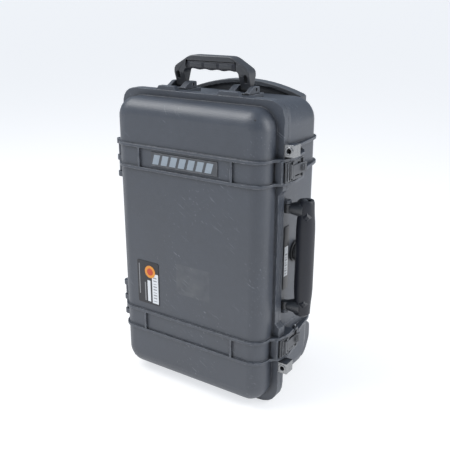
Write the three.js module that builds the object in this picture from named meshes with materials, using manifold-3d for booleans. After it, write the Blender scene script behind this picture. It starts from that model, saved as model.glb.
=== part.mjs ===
// Rolling flight case: a moulded lid and base with latches, hinges, two carrying handles,
// a telescoping trolley handle and two wheels.
// Millimetres. X runs across the lid, with the latches and side handle at +X and the hinges at -X.
// Y runs from the lid (front) to the trolley (back), with y = 0 where lid and base part. Z is up.
import * as THREE from "three";
import { mergeVertices } from "three/addons/utils/BufferGeometryUtils.js";
import Module from "manifold-3d";

const wasm = await Module();
wasm.setup();

// ---- Driving dimensions ------------------------------------------------------------------

const gap = 0.3; // between pieces that touch
const runningGap = 0.4; // between pieces that turn or slide

// Case
const caseHeight = 535;
const rimHalfWidth = 163.8;
const rimCornerRadius = 40;
const rimDepthLid = 11.6;
const rimDepthBase = 8;
const notchDepth = 7.8; // the rim steps in between the latches
const lidDepth = 53.2;
const baseDepth = 150;
const wall = 4.5;
const domeStep = 13.1; // dome side to rim edge
const domeMargin = 11.6; // dome to rim edge, at top and bottom
const domeRounding = 26;
const domeCorner = 34;
const wallStep = 5.8; // side wall behind the rim's edge
const baseDraft = 13; // how much narrower the base is at its back, each side
const baseRounding = 34;
const cavityMargin = 16;
const cavityCorner = 20;
const lidCavityRounding = 18;
const baseCavityDraft = 3;
const outerSteps = 6; // facets round the edges that show
const innerSteps = 3; // and round those inside

// Gasket, in a groove of the lid's rim
const gasketWidth = 4;
const gasketDepth = 3;
const gasketInset = 14;
const gasketCorner = 27.7;

// Bands across the lid, one at each latch
const upperBandOffset = 157; // above the middle of the case
const lowerBandOffset = 154; // below it
const bandHalfHeight = 19.3;
const ribThickness = 5;
const ribProud = 3.5;
const barOffset = 94.4;
const barHalfWidth = 2;
const sideRibProud = 3.2;
const upperSideRibs = [30.8, -11.5]; // on the base's side walls, from the upper band's middle
const lowerSideRibs = [0]; // and from the lower band's
const sideRibCorner = 32;

// Hinges
const hingeReach = 20; // hinge axis beyond the rim
const upperHingeDrop = 21.5; // hinge centre below the upper band
const lowerHingeRise = 6.5; // hinge centre above the lower band
const lidKnuckle = { radius: 7.5, height: 10 };
const baseKnuckle = { radius: 5, height: 19 };
const knucklePitch = 15.5;
const hingePinRadius = 2.5;

// Latches
const latchPinInset = 2.3; // pin axis inside the rim edge
const latchPinY = 50;
const latchPinRadius = 2;
const latchEyeRadius = 4.2;
const latchPlateReach = 2.4; // inside of the latch plate beyond the rim edge
const latchPlateThickness = 4;
const latchFrontY = -13;
const leverHalfHeight = 9;
const leverThickness = 3;
const leverRecess = 1.6;
const leverPivotY = 6;
const leverEyeRadius = 2.4;
const pocketDepth = 7.2; // hollow behind the latch, from the rim edge
const latchSwingRoom = 15; // hollow behind the latch pin, for the opened lever
const finReach = 6.2; // fins beyond the rim edge
const keeperReach = 1.2;
const keeperFrontY = -19;
const keeperWidth = 13;

// Padlock guards
const guardMargin = 15.5; // padlock hole beyond the band's edge, away from the middle
const guardHalfHeight = 9.75;
const guardReach = 17.2; // beyond the rim edge
const guardThickness = 1.5;
const guardFrontY = -12;
const guardBackY = 10;
const padlockReach = 8.2; // hole centre beyond the rim edge
const padlockRadius = 4;

// Top handle
const topPivotY = 36;
const topPivotRise = 6.4; // pin axis above the case
const topHandleHalfWidth = 76;
const topHandleRise = 57;
const topShoulderDrop = 20;
const topShoulderWidth = 34;
const topLegWidth = 20.5;
const topGripRise = 36; // underside of the grip above the case
const topGripHeight = 12;
const topHandleThickness = 22;
const topEyeRadius = 5.6;
const topPinRadius = 2.5;
const bracketInnerX = 43;
const bracketOuterX = 84;
const bracketEarRise = 11.5;
const landMargin = 2;
const topBlockRise = 7;

// Side recess and side handle
const recessDepth = 15.3;
const recessTopDrop = 39.5; // below the upper band
const recessBottomRise = 4.5; // above the lower band
const recessFront = 12;
const recessBack = 108;
const recessWall = 5.5;
const sidePivotReach = 7; // pivot axis off the recess floor
const sidePivotY = 22;
const sideBarOffset = { x: 28.5, y: 11 }; // bar axis from the pivot axis
const sideBarRadius = 16;
const sideCoreRadius = 10;
const sideHandleHalfLength = 103;
const sideHandleRise = 1.5; // above the middle of the case
const sideArmThickness = 15;
const sideArmInset = 8;
const sideEarThickness = 6;
const sideEyeRadius = 6;
const sidePinRadius = 2.5;

// Pressure valve
const valveY = 66;
const valveDrop = 1; // below the middle of the case
const valveRadius = 19;
const valveKnobRadius = 15;
const valveStemRadius = 9;
const valveFlangeThickness = 3;
const valveKnobThickness = 6;

// Trolley handle
const trolleyInset = 7; // tube axis in front of the base's back
const trolleyHalfSpacing = 80;
const fixedTube = { width: 24, depth: 17 };
const tubeWall = 1.6;
const tubeCorner = 2.5;
const tubeBottom = 100;
const tubeTopDrop = 37; // below the top of the case
const stageRise = 4; // each stage stands this much above the one around it
const channelHalfWidth = 98;
const channelDepth = 17;
const channelBottom = 88;
const nestHalfWidth = 117.5;
const nestDepth = 19;
const nestDrop = 33; // floor of the grip's nest below the top of the case
const gripHalfWidth = 115;
const gripArchRise = 9;
const gripEndDrop = 11;
const gripDepth = 21;
const gripSkin = 7;
const gripGroove = 5;
const buttonHalfWidth = 24;
const buttonTravel = 3;
const footHeight = 24;
const guideHeight = 26;
const coverThickness = 3;
const coverRibProud = 3;
const screwRadius = 2.6;
const screwHeadRadius = 5;
const screwX = 50;

// Wheels
const wheelRadius = 27;
const wheelInset = 2; // axle in front of the base's back
const wheelInnerX = 90;
const wheelOuterX = 114;
const hubRadius = 19;
const bearingRadius = 11;
const axleRadius = 4;
const cheekInnerX = 84;
const cheekOuterX = 130;
const cheekThickness = 3.6;
const wheelWellGap = 2.5;
const housingTop = 81;
const housingFloor = 14;
const housingSeam = 38;
const housingReach = 34; // axle to the housing's front
const housingBackReach = 27.8; // axle to the housing's back

// Nameplate, labels and foam
const nameplate = { halfWidth: 68, halfHeight: 12, thickness: 1.2 };
const assetLabel = { left: -110, right: -61, rise: 36.5, height: 83, thickness: 0.4 };
const serialLabel = { front: 27, back: 39, drop: 37.5, height: 54, thickness: 0.4 };
const lidFoamThickness = 14;
const baseFoamThickness = 8;
const foamClearance = 8;

// ---- Values that follow from them --------------------------------------------------------

const middleZ = caseHeight / 2;
const bandCentres = [middleZ + upperBandOffset, middleZ - lowerBandOffset];
const bandDirections = [1, -1]; // away from the middle, for each band
const sideRibs = [upperSideRibs, lowerSideRibs];
const lidFrontY = -lidDepth;
const domeHalfWidth = rimHalfWidth - domeStep;
const domeBottom = domeMargin;
const domeTop = caseHeight - domeMargin;
const cavityBottom = cavityMargin;
const cavityTop = caseHeight - cavityMargin;
const recessFloorX = rimHalfWidth - recessDepth;
const cavityHalfWidth = recessFloorX - recessWall;
const notchHalfWidth = rimHalfWidth - notchDepth;
const gasketOuterX = rimHalfWidth - gasketInset + gasketWidth / 2;
const hingeX = -(rimHalfWidth + hingeReach);
const hingeCentres = [bandCentres[0] - upperHingeDrop, bandCentres[1] + lowerHingeRise];
const latchPinX = rimHalfWidth - latchPinInset;
const latchPlateInner = rimHalfWidth + latchPlateReach;
const latchPlateOuter = latchPlateInner + latchPlateThickness;
const leverPivotX = latchPlateOuter;
const pocketX = rimHalfWidth - pocketDepth;
const finX = rimHalfWidth + finReach;
const guardOuterX = rimHalfWidth + guardReach;
const padlockX = rimHalfWidth + padlockReach;
const guardOffset = bandHalfHeight + guardMargin;
const guardCentres = bandCentres.map((z, index) => z + bandDirections[index] * guardOffset);
const topPivotZ = caseHeight + topPivotRise;
const topHandleTop = caseHeight + topHandleRise;
const topGripUnderside = caseHeight + topGripRise;
const topLegInnerX = topHandleHalfWidth - topLegWidth;
const recessTop = bandCentres[0] - recessTopDrop;
const recessBottom = bandCentres[1] + recessBottomRise;
const sidePivotX = recessFloorX + sidePivotReach;
const sideBarX = sidePivotX + sideBarOffset.x;
const sideBarY = sidePivotY + sideBarOffset.y;
const sideHandleZ = middleZ + sideHandleRise;
const valveZ = middleZ - valveDrop;
const trolleyY = baseDepth - trolleyInset;
const tubeTop = caseHeight - tubeTopDrop;
const channelFloorY = baseDepth - channelDepth;
const nestFrontY = baseDepth - nestDepth;
const nestBottom = caseHeight - nestDrop;
const gripArchTop = caseHeight + gripArchRise;
const gripEndTop = caseHeight - gripEndDrop;
const assetLabelBottom = bandCentres[1] + assetLabel.rise;
const serialLabelBottom = middleZ - serialLabel.drop;
const wheelY = baseDepth - wheelInset;
const wheelZ = wheelRadius;
const housingFront = wheelY - housingReach;
const housingBack = wheelY + housingBackReach;
const beyond = 2 * (caseHeight + rimHalfWidth + baseDepth); // further than any piece reaches

// ---- Geometry helpers --------------------------------------------------------------------

// A closed three.js geometry as a manifold solid.
function solid(geometry) {
  const bare = geometry.index ? geometry.toNonIndexed() : geometry;
  const positions = new THREE.BufferGeometry();
  positions.setAttribute("position", bare.getAttribute("position"));
  const merged = mergeVertices(positions, 1e-4);
  return new wasm.Manifold(
    new wasm.Mesh({
      numProp: 3,
      vertProperties: new Float32Array(merged.attributes.position.array),
      triVerts: new Uint32Array(merged.index.array),
    }),
  );
}

function join(first, ...others) {
  return others.reduce((whole, piece) => whole.add(piece), first);
}

function cut(first, ...others) {
  return others.reduce((whole, piece) => whole.subtract(piece), first);
}

function block(x0, x1, y0, y1, z0, z1) {
  const geometry = new THREE.BoxGeometry(x1 - x0, y1 - y0, z1 - z0);
  geometry.translate((x0 + x1) / 2, (y0 + y1) / 2, (z0 + z1) / 2);
  return solid(geometry);
}

const alongX = new THREE.Matrix4().makeBasis(
  new THREE.Vector3(0, 1, 0),
  new THREE.Vector3(0, 0, 1),
  new THREE.Vector3(1, 0, 0),
);
const alongY = new THREE.Matrix4().makeBasis(
  new THREE.Vector3(1, 0, 0),
  new THREE.Vector3(0, 0, 1),
  new THREE.Vector3(0, -1, 0),
);

// Extrudes an outline drawn in Y-Z from x0 to x1.
function extrudeX(outline, x0, x1, curveSegments = 3) {
  const geometry = new THREE.ExtrudeGeometry(outline, {
    depth: x1 - x0,
    bevelEnabled: false,
    curveSegments,
  });
  geometry.applyMatrix4(alongX);
  geometry.translate(x0, 0, 0);
  return solid(geometry);
}

// Extrudes an outline drawn in X-Z from y0 to y1.
function extrudeY(outline, y0, y1, curveSegments = 3) {
  const geometry = new THREE.ExtrudeGeometry(outline, {
    depth: y1 - y0,
    bevelEnabled: false,
    curveSegments,
  });
  geometry.applyMatrix4(alongY);
  geometry.translate(0, y1, 0);
  return solid(geometry);
}

// Extrudes an outline drawn in X-Y from z0 to z1.
function extrudeZ(outline, z0, z1, curveSegments = 3) {
  const geometry = new THREE.ExtrudeGeometry(outline, {
    depth: z1 - z0,
    bevelEnabled: false,
    curveSegments,
  });
  geometry.translate(0, 0, z0);
  return solid(geometry);
}

function cylinderX(radius, x0, x1, y, z, sides = 16) {
  const geometry = new THREE.CylinderGeometry(radius, radius, x1 - x0, sides);
  geometry.rotateZ(-Math.PI / 2);
  geometry.translate((x0 + x1) / 2, y, z);
  return solid(geometry);
}

function cylinderY(radius, y0, y1, x, z, sides = 16) {
  const geometry = new THREE.CylinderGeometry(radius, radius, y1 - y0, sides);
  geometry.translate(x, (y0 + y1) / 2, z);
  return solid(geometry);
}

function cylinderZ(radius, z0, z1, x, y, sides = 16) {
  const geometry = new THREE.CylinderGeometry(radius, radius, z1 - z0, sides);
  geometry.rotateX(Math.PI / 2);
  geometry.translate(x, y, (z0 + z1) / 2);
  return solid(geometry);
}

// An outline through [a, b, radius] corners, each rounded by its own radius.
function outlineThrough(corners) {
  const shape = new THREE.Shape();
  const count = corners.length;
  corners.forEach(([a, b, radius = 0], index) => {
    const corner = new THREE.Vector2(a, b);
    const before = new THREE.Vector2(...corners[(index + count - 1) % count]);
    const after = new THREE.Vector2(...corners[(index + 1) % count]);
    const arrive = before.sub(corner).setLength(radius).add(corner);
    const leave = after.sub(corner).setLength(radius).add(corner);
    if (index === 0) shape.moveTo(arrive.x, arrive.y);
    else shape.lineTo(arrive.x, arrive.y);
    if (radius > 0) shape.quadraticCurveTo(corner.x, corner.y, leave.x, leave.y);
  });
  shape.closePath();
  return shape;
}

function roundedRectangle(a0, a1, b0, b1, radius) {
  const shape = new THREE.Shape();
  shape.moveTo(a0 + radius, b0);
  shape.absarc(a1 - radius, b0 + radius, radius, -Math.PI / 2, 0, false);
  shape.absarc(a1 - radius, b1 - radius, radius, 0, Math.PI / 2, false);
  shape.absarc(a0 + radius, b1 - radius, radius, Math.PI / 2, Math.PI, false);
  shape.absarc(a0 + radius, b0 + radius, radius, Math.PI, Math.PI * 1.5, false);
  return shape;
}

// A tray-like solid from an open side at openY to a rounded side at closedY.
// It narrows by draft on each side as it goes.
function tray(halfWidth, z0, z1, corner, openY, closedY, fillet, steps, draft = 0) {
  const direction = Math.sign(closedY - openY);
  const depth = Math.abs(closedY - openY);
  const rounding = Math.min(fillet, depth - 1);
  const inset = roundedRectangle(
    -halfWidth + rounding,
    halfWidth - rounding,
    z0 + rounding,
    z1 - rounding,
    Math.max(corner - rounding, 1),
  );
  const geometry = new THREE.ExtrudeGeometry(inset, {
    depth: 2 * (depth - rounding),
    bevelThickness: rounding,
    bevelSize: rounding,
    bevelSegments: steps,
    curveSegments: Math.ceil(steps / 2) + 1,
  });
  geometry.translate(0, 0, -(depth - rounding));
  geometry.applyMatrix4(alongY);
  const place = geometry.getAttribute("position");
  for (let index = 0; index < place.count; index += 1) {
    const share = (draft * Math.abs(place.getY(index))) / depth;
    place.setX(index, place.getX(index) * (1 - share / halfWidth));
    const height = place.getZ(index) - (z0 + z1) / 2;
    place.setZ(index, (z0 + z1) / 2 + height * (1 - (2 * share) / (z1 - z0)));
  }
  geometry.translate(0, openY, 0);
  const whole = solid(geometry);
  const behind =
    direction > 0
      ? block(-beyond, beyond, openY - beyond, openY, -beyond, beyond)
      : block(-beyond, beyond, openY, openY + beyond, -beyond, beyond);
  return whole.subtract(behind);
}

// The same solid on the other side of the case, at -X.
function mirrored(piece) {
  return piece.mirror([1, 0, 0]);
}

// ---- Scene graph -------------------------------------------------------------------------

const flightCase = new THREE.Group();
flightCase.name = "rolling_flight_case";

function plastic(color, roughness = 0.6) {
  return new THREE.MeshStandardMaterial({ color, roughness, metalness: 0 });
}

function metal(color, roughness = 0.35) {
  return new THREE.MeshStandardMaterial({ color, roughness, metalness: 1 });
}

const finishes = {
  shell: plastic(0x4a5057, 0.62),
  handle: plastic(0x34383c, 0.55),
  grip: plastic(0x2c2f31, 0.75),
  rubber: plastic(0x1b1c1d, 0.85),
  steel: metal(0xcfcfcc, 0.3),
  aluminium: metal(0xa8abad, 0.4),
  foam: plastic(0x2b2d2f, 0.95),
  plate: plastic(0x8c97a0, 0.5),
  label: plastic(0x1d1e20, 0.4),
};

function add(name, piece, finish) {
  const mesh = piece.getMesh();
  const geometry = new THREE.BufferGeometry();
  geometry.setAttribute("position", new THREE.BufferAttribute(mesh.vertProperties, 3));
  geometry.setIndex(new THREE.BufferAttribute(mesh.triVerts, 1));
  geometry.computeVertexNormals();
  const node = new THREE.Mesh(geometry, finishes[finish]);
  node.name = name;
  flightCase.add(node);
}

// ---- Rims, shared by lid and base --------------------------------------------------------

// The rim's outline, with the shallow notch between the latches on the +X side.
function rimOutline() {
  const notchTop = bandCentres[0] - bandHalfHeight - 12;
  const notchBottom = bandCentres[1] + bandHalfHeight + 18;
  const r = rimCornerRadius;
  return outlineThrough([
    [-rimHalfWidth, 0, r],
    [rimHalfWidth, 0, r],
    [rimHalfWidth, notchBottom, 0],
    [notchHalfWidth, notchBottom + 8, 0],
    [notchHalfWidth, notchTop - 8, 0],
    [rimHalfWidth, notchTop, 0],
    [rimHalfWidth, caseHeight, r * 0.8],
    [-rimHalfWidth, caseHeight, r * 0.8],
  ]);
}

// Knuckles of one hinge: the lid has three and the base two, in between.
function knuckles(bandZ, offsets, { radius, height }, webY0, webY1) {
  const inner = -rimHalfWidth + 2;
  return offsets.map((offset) => {
    const z0 = bandZ + offset * knucklePitch - height / 2;
    const z1 = z0 + height;
    const round = cylinderZ(radius, z0, z1, hingeX, 0, 16);
    const web = block(hingeX, inner, webY0, webY1, z0, z1);
    const bore = cylinderZ(hingePinRadius + runningGap, z0 - 1, z1 + 1, hingeX, 0, 8);
    return join(round, web).subtract(bore);
  });
}

// The plan outline of a fin that shields a latch, in front of or behind the parting plane.
const lidFin = outlineThrough([
  [domeHalfWidth - 6, latchFrontY - 14],
  [domeHalfWidth, latchFrontY - 14],
  [finX - 3, latchFrontY, 2],
  [finX, -gap / 2],
  [domeHalfWidth - 6, -gap / 2],
]);
const baseFin = outlineThrough([
  [finX, gap / 2],
  [finX + 2, 12, 3],
  [latchPinX + 5, latchPinY + 4, 3],
  [latchPinX - 2.5, latchPinY + 17, 2],
  [cavityHalfWidth + 3, latchPinY + 30],
  [cavityHalfWidth + 3, gap / 2],
]);

function finZ(bandZ, side) {
  return bandZ + side * bandHalfHeight;
}

// The plastic tab under a padlock guard.
function guardTab(z, y0, y1) {
  const tab = block(
    rimHalfWidth - 4,
    guardOuterX - guardThickness - gap,
    y0,
    y1,
    z - guardHalfHeight + gap,
    z + guardHalfHeight - gap,
  );
  return tab.subtract(cylinderY(padlockRadius, y0 - 1, y1 + 1, padlockX, z, 16));
}

// ---- Lid ---------------------------------------------------------------------------------

function lidShell() {
  const domeOpenY = -rimDepthLid + 1;
  const dome = tray(
    domeHalfWidth,
    domeBottom,
    domeTop,
    domeCorner,
    domeOpenY,
    lidFrontY,
    domeRounding,
    outerSteps,
  );
  const rim = extrudeY(rimOutline(), -rimDepthLid, -gap / 2, 6);
  const proudDome = tray(
    domeHalfWidth + ribProud,
    domeBottom,
    domeTop,
    domeCorner,
    domeOpenY,
    lidFrontY - ribProud,
    domeRounding + ribProud,
    outerSteps,
  );
  const pieces = [];
  bandCentres.forEach((z, index) => {
    [1, -1].forEach((side) => {
      const ribZ = finZ(z, side);
      const slice = block(
        -beyond,
        beyond,
        -beyond,
        0,
        ribZ - ribThickness / 2,
        ribZ + ribThickness / 2,
      );
      pieces.push(proudDome.intersect(slice));
      pieces.push(extrudeZ(lidFin, ribZ - ribThickness / 2, ribZ + ribThickness / 2));
    });
    [barOffset, -barOffset].forEach((x) => {
      const bar = block(
        x - barHalfWidth,
        x + barHalfWidth,
        -beyond,
        lidFrontY + wall,
        z - bandHalfHeight,
        z + bandHalfHeight,
      );
      pieces.push(proudDome.intersect(bar));
    });
    pieces.push(
      block(
        rimHalfWidth + keeperReach - keeperWidth,
        rimHalfWidth + keeperReach,
        keeperFrontY,
        domeOpenY,
        z - bandHalfHeight + 1,
        z + bandHalfHeight - 1,
      ),
    );
    pieces.push(guardTab(guardCentres[index], guardFrontY + guardThickness + gap, -gap / 2));
    pieces.push(
      ...knuckles(hingeCentres[index], [-2, 0, 2], lidKnuckle, -lidKnuckle.radius, -gap / 2),
    );
  });
  // Raised blocks on the top rim, in front of the top handle's brackets.
  [
    [-bracketOuterX - 6, -bracketInnerX - 1],
    [bracketInnerX - 9, bracketOuterX - 1],
  ].forEach(([x0, x1]) => {
    const ramp = outlineThrough([
      [x0, caseHeight - 3],
      [x1, caseHeight - 3],
      [x1 - topBlockRise, caseHeight + topBlockRise],
      [x0 + topBlockRise, caseHeight + topBlockRise],
    ]);
    pieces.push(extrudeY(ramp, domeOpenY, -gap / 2));
  });
  const cavity = tray(
    cavityHalfWidth,
    cavityBottom,
    cavityTop,
    cavityCorner,
    1,
    lidFrontY + wall,
    lidCavityRounding,
    innerSteps,
  );
  return cut(join(dome, rim, ...pieces), cavity, gasketRing(gap, -gasketDepth - 2 * gap, 1));
}

// A rounded ring along the lid's rim, of the gasket's section grown by a clearance all round.
function gasketRing(clearance, y0, y1) {
  const edge = rimHalfWidth - gasketOuterX - 6;
  const outer = roundedRectangle(
    -gasketOuterX - clearance,
    gasketOuterX + clearance,
    edge - clearance,
    caseHeight - edge + clearance,
    gasketCorner + clearance,
  );
  const inset = gasketWidth + clearance;
  const inner = roundedRectangle(
    -gasketOuterX + inset,
    gasketOuterX - inset,
    edge + inset,
    caseHeight - edge - inset,
    gasketCorner - gasketWidth + clearance,
  );
  return cut(extrudeY(outer, y0, y1), extrudeY(inner, y0 - 1, y1 + 1));
}

function lidFoam() {
  const y0 = lidFrontY + wall + gap;
  return tray(
    cavityHalfWidth - foamClearance,
    cavityBottom + foamClearance,
    cavityTop - foamClearance,
    cavityCorner,
    y0 + lidFoamThickness,
    y0,
    lidCavityRounding,
    innerSteps,
  );
}

add("lid_shell", lidShell(), "shell");
add("lid_gasket", gasketRing(0, -gasketDepth - gap, -gap), "rubber");
add("lid_foam_pad", lidFoam(), "foam");

// ---- Wheel housings ----------------------------------------------------------------------

// The outline of a wheel housing's cheek in Y-Z. Its front edge is a concave arch.
function housingOutline(grow) {
  const front = housingFront - grow;
  const back = housingBack + grow;
  const floor = housingFloor - grow;
  const top = housingTop + grow;
  const shape = new THREE.Shape();
  shape.moveTo(front, floor);
  shape.lineTo(wheelY + 2, floor);
  shape.quadraticCurveTo(wheelY + 14, floor + 4, back - 5, housingSeam - 2);
  shape.quadraticCurveTo(back, housingSeam + 6, back, housingSeam + 14);
  shape.lineTo(back, top - 17);
  shape.quadraticCurveTo(back, top, wheelY + 12, top);
  shape.lineTo(wheelY - 1 - grow, top);
  shape.quadraticCurveTo(front + 6, top - 13, front, housingSeam + 2);
  shape.closePath();
  return shape;
}

function wheelHousing() {
  const body = extrudeX(housingOutline(0), cheekInnerX, cheekOuterX, 8);
  const inner = wheelInnerX - wheelWellGap + 1;
  const outer = wheelOuterX + wheelWellGap;
  const wellRadius = wheelRadius + wheelWellGap;
  const well = join(
    cylinderX(wellRadius, inner, outer, wheelY, wheelZ, 28),
    block(inner, outer, wheelY, beyond, -beyond, wheelZ + 10),
    block(inner, outer, wheelY - wellRadius + 3, beyond, -beyond, housingFloor + 2),
  );
  const bore = cylinderX(
    axleRadius + gap,
    cheekInnerX - 1,
    cheekOuterX - cheekThickness,
    wheelY,
    wheelZ,
    14,
  );
  return cut(body, well, bore);
}

// The hollow that the housing sits in, cut from the base's lower back corner.
function wheelCutout() {
  const inner = cheekInnerX - gap;
  return join(
    extrudeX(housingOutline(gap), inner, beyond, 8),
    block(inner, beyond, housingFront - 2, beyond, -beyond, housingSeam + 7),
    block(inner, beyond, wheelY + 2, beyond, 0, housingTop + gap),
  );
}

// ---- Base --------------------------------------------------------------------------------

function baseCavity() {
  const room = tray(
    cavityHalfWidth,
    cavityBottom,
    cavityTop,
    cavityCorner,
    -1,
    baseDepth - wall,
    baseRounding - wall,
    innerSteps,
    baseCavityDraft,
  );
  const trolleyBump = block(
    -channelHalfWidth - wall,
    channelHalfWidth + wall,
    channelFloorY - wall,
    beyond,
    channelBottom - wall,
    beyond,
  );
  const nestBump = block(
    -nestHalfWidth - wall,
    nestHalfWidth + wall,
    nestFrontY - wall,
    beyond,
    nestBottom - wall,
    beyond,
  );
  const wheelBump = block(
    cheekInnerX - gap - wall,
    beyond,
    housingFront - 2 - wall,
    beyond,
    -beyond,
    housingTop + gap + wall,
  );
  return cut(room, trolleyBump, nestBump, wheelBump, mirrored(wheelBump));
}

function sideRecess() {
  const outline = outlineThrough([
    [recessFront, recessTop - 14],
    [recessFront + 38, recessTop],
    [recessBack - 6, recessTop],
    [recessBack, recessTop - 8],
    [recessBack, recessBottom + 8],
    [recessBack - 6, recessBottom],
    [recessFront + 32, recessBottom],
    [recessFront, recessBottom + 44],
  ]);
  return extrudeX(outline, recessFloorX, beyond);
}

function baseShell() {
  const body = tray(
    rimHalfWidth - wallStep,
    0.5,
    caseHeight - 0.5,
    rimCornerRadius,
    gap / 2,
    baseDepth,
    baseRounding,
    outerSteps,
    baseDraft,
  );
  const rim = extrudeY(rimOutline(), gap / 2, rimDepthBase, 6);
  const pieces = [];
  const pockets = [];
  bandCentres.forEach((z, index) => {
    [1, -1].forEach((side) => {
      const ribZ = finZ(z, side);
      pieces.push(extrudeZ(baseFin, ribZ - ribThickness / 2, ribZ + ribThickness / 2));
    });
    // Long ribs on each side wall, which turn round its back corner.
    const wallX = rimHalfWidth - wallStep + sideRibProud;
    sideRibs[index].forEach((offset) => {
      const front = offset > bandHalfHeight ? guardBackY + 1 : latchPinY + latchSwingRoom + 2;
      const rib = outlineThrough([
        [cavityHalfWidth - 10, front],
        [wallX, front],
        [wallX - baseDraft, baseDepth, sideRibCorner],
        [channelHalfWidth + wall, baseDepth],
        [channelHalfWidth + wall, channelFloorY],
      ]);
      const ribZ = z + bandDirections[index] * offset;
      const strip = extrudeZ(rib, ribZ - ribThickness / 2, ribZ + ribThickness / 2, 6);
      pieces.push(strip, mirrored(strip));
    });
    pockets.push(
      block(
        pocketX,
        beyond,
        rimDepthBase - 4,
        latchPinY + latchSwingRoom,
        z - bandHalfHeight + ribThickness / 2,
        z + bandHalfHeight - ribThickness / 2,
      ),
      cylinderZ(
        latchPinRadius + gap,
        z - bandHalfHeight - 1,
        z + bandHalfHeight + 1,
        latchPinX,
        latchPinY,
        14,
      ),
    );
    pieces.push(guardTab(guardCentres[index], gap / 2, guardBackY - guardThickness - gap));
    pieces.push(
      ...knuckles(hingeCentres[index], [-1, 1], baseKnuckle, gap / 2, baseKnuckle.radius),
    );
  });
  // Flat lands under the top handle's brackets.
  [1, -1].forEach((side) => {
    const land = block(
      bracketInnerX - landMargin,
      bracketOuterX + landMargin,
      rimDepthBase - 1,
      topPivotY + 20,
      caseHeight - 8,
      caseHeight,
    );
    pieces.push(side > 0 ? land : mirrored(land));
  });
  const hollow = [
    baseCavity(),
    sideRecess(),
    wheelCutout(),
    mirrored(wheelCutout()),
    block(
      -channelHalfWidth,
      channelHalfWidth,
      channelFloorY,
      beyond,
      channelBottom,
      beyond,
    ),
    block(-nestHalfWidth, nestHalfWidth, nestFrontY, beyond, nestBottom, beyond),
  ];
  // Ears that hold the side handle's pivots, standing on the recess floor.
  const ears = [1, -1].map((side) => {
    const near = sideHandleZ + side * (sideHandleHalfLength - sideArmInset + runningGap);
    const far = near + side * sideEarThickness;
    const z0 = Math.min(near, far);
    const z1 = Math.max(near, far);
    const ear = join(
      block(
        recessFloorX - 1,
        sidePivotX,
        sidePivotY - sideEyeRadius,
        sidePivotY + sideEyeRadius,
        z0,
        z1,
      ),
      cylinderZ(sideEyeRadius, z0, z1, sidePivotX, sidePivotY),
    );
    const bore = cylinderZ(sidePinRadius + gap, z0 - 1, z1 + 1, sidePivotX, sidePivotY, 14);
    return ear.subtract(bore);
  });
  const shell = cut(join(body, rim, ...pieces), ...pockets, ...hollow);
  const hole = cylinderX(
    valveStemRadius,
    cavityHalfWidth - 5,
    recessFloorX + 5,
    valveY,
    valveZ,
    16,
  );
  return join(shell, ...ears).subtract(hole);
}

function baseFoam() {
  return block(
    -channelHalfWidth,
    channelHalfWidth,
    channelFloorY - wall - gap - baseFoamThickness,
    channelFloorY - wall - gap,
    channelBottom + 40,
    nestBottom - 20,
  );
}

add("base_shell", baseShell(), "shell");
add("base_foam_pad", baseFoam(), "foam");

// ---- Hinge pins --------------------------------------------------------------------------

["upper", "lower"].forEach((place, index) => {
  const reach = 2 * knucklePitch + lidKnuckle.height / 2;
  add(
    "hinge_pin_" + place,
    cylinderZ(
      hingePinRadius,
      hingeCentres[index] - reach,
      hingeCentres[index] + reach,
      hingeX,
      0,
      8,
    ),
    "steel",
  );
});

// ---- Latches -----------------------------------------------------------------------------

function latchBody(z) {
  const outerX = latchPlateOuter;
  const z0 = z - bandHalfHeight + ribThickness / 2 + runningGap;
  const z1 = z + bandHalfHeight - ribThickness / 2 - runningGap;
  const arm = extrudeZ(
    outlineThrough([
      [latchPlateInner, latchFrontY, 1],
      [outerX - 1, latchFrontY, 2],
      [outerX, leverPivotY],
      [outerX, latchPinY - 20, 2],
      [latchPinX + 5, latchPinY + 4, 1],
      [latchPinX, latchPinY + 3],
      [latchPinX, latchPinY - 3],
      [latchPlateInner, latchPinY - 12],
    ]),
    z0,
    z1,
  );
  const eye = cylinderZ(latchEyeRadius, z0, z1, latchPinX, latchPinY);
  const bore = cylinderZ(latchPinRadius + gap, z0 - 1, z1 + 1, latchPinX, latchPinY, 14);
  const leverSeat = join(
    block(
      outerX - leverRecess,
      beyond,
      leverPivotY,
      beyond,
      z - leverHalfHeight,
      z + leverHalfHeight,
    ),
    cylinderZ(
      leverEyeRadius + runningGap,
      z - leverHalfHeight,
      z + leverHalfHeight,
      leverPivotX,
      leverPivotY,
    ),
  );
  const thumbSlot = block(latchPlateInner - 1, outerX + 1, 16, 30, z0 + 5, z0 + 10);
  const upperSlot = block(latchPlateInner - 1, outerX + 1, 16, 30, z1 - 10, z1 - 5);
  return cut(join(arm, eye), bore, leverSeat, thumbSlot, upperSlot);
}

function latchLever(z) {
  const innerX = latchPlateOuter - leverRecess + gap;
  const outerX = innerX + leverThickness;
  const z0 = z - leverHalfHeight + runningGap;
  const z1 = z + leverHalfHeight - runningGap;
  const plate = extrudeZ(
    outlineThrough([
      [innerX, leverPivotY],
      [outerX, leverPivotY, 0.8],
      [outerX, latchPinY - 14],
      [outerX + 2.5, latchPinY - 4, 1],
      [outerX + 1.5, latchPinY - 1, 1],
      [innerX + 1, latchPinY - 6],
      [innerX, latchPinY - 20],
    ]),
    z0,
    z1,
  );
  return join(plate, cylinderZ(leverEyeRadius, z0, z1, leverPivotX, leverPivotY));
}

["upper", "lower"].forEach((place, index) => {
  const z = bandCentres[index];
  add("latch_body_" + place, latchBody(z), "shell");
  add("latch_lever_" + place, latchLever(z), "shell");
  add(
    "latch_pin_" + place,
    cylinderZ(
      latchPinRadius,
      z - bandHalfHeight - 0.8,
      z + bandHalfHeight + 0.8,
      latchPinX,
      latchPinY,
      12,
    ),
    "steel",
  );
});

// ---- Padlock guards ----------------------------------------------------------------------

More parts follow.
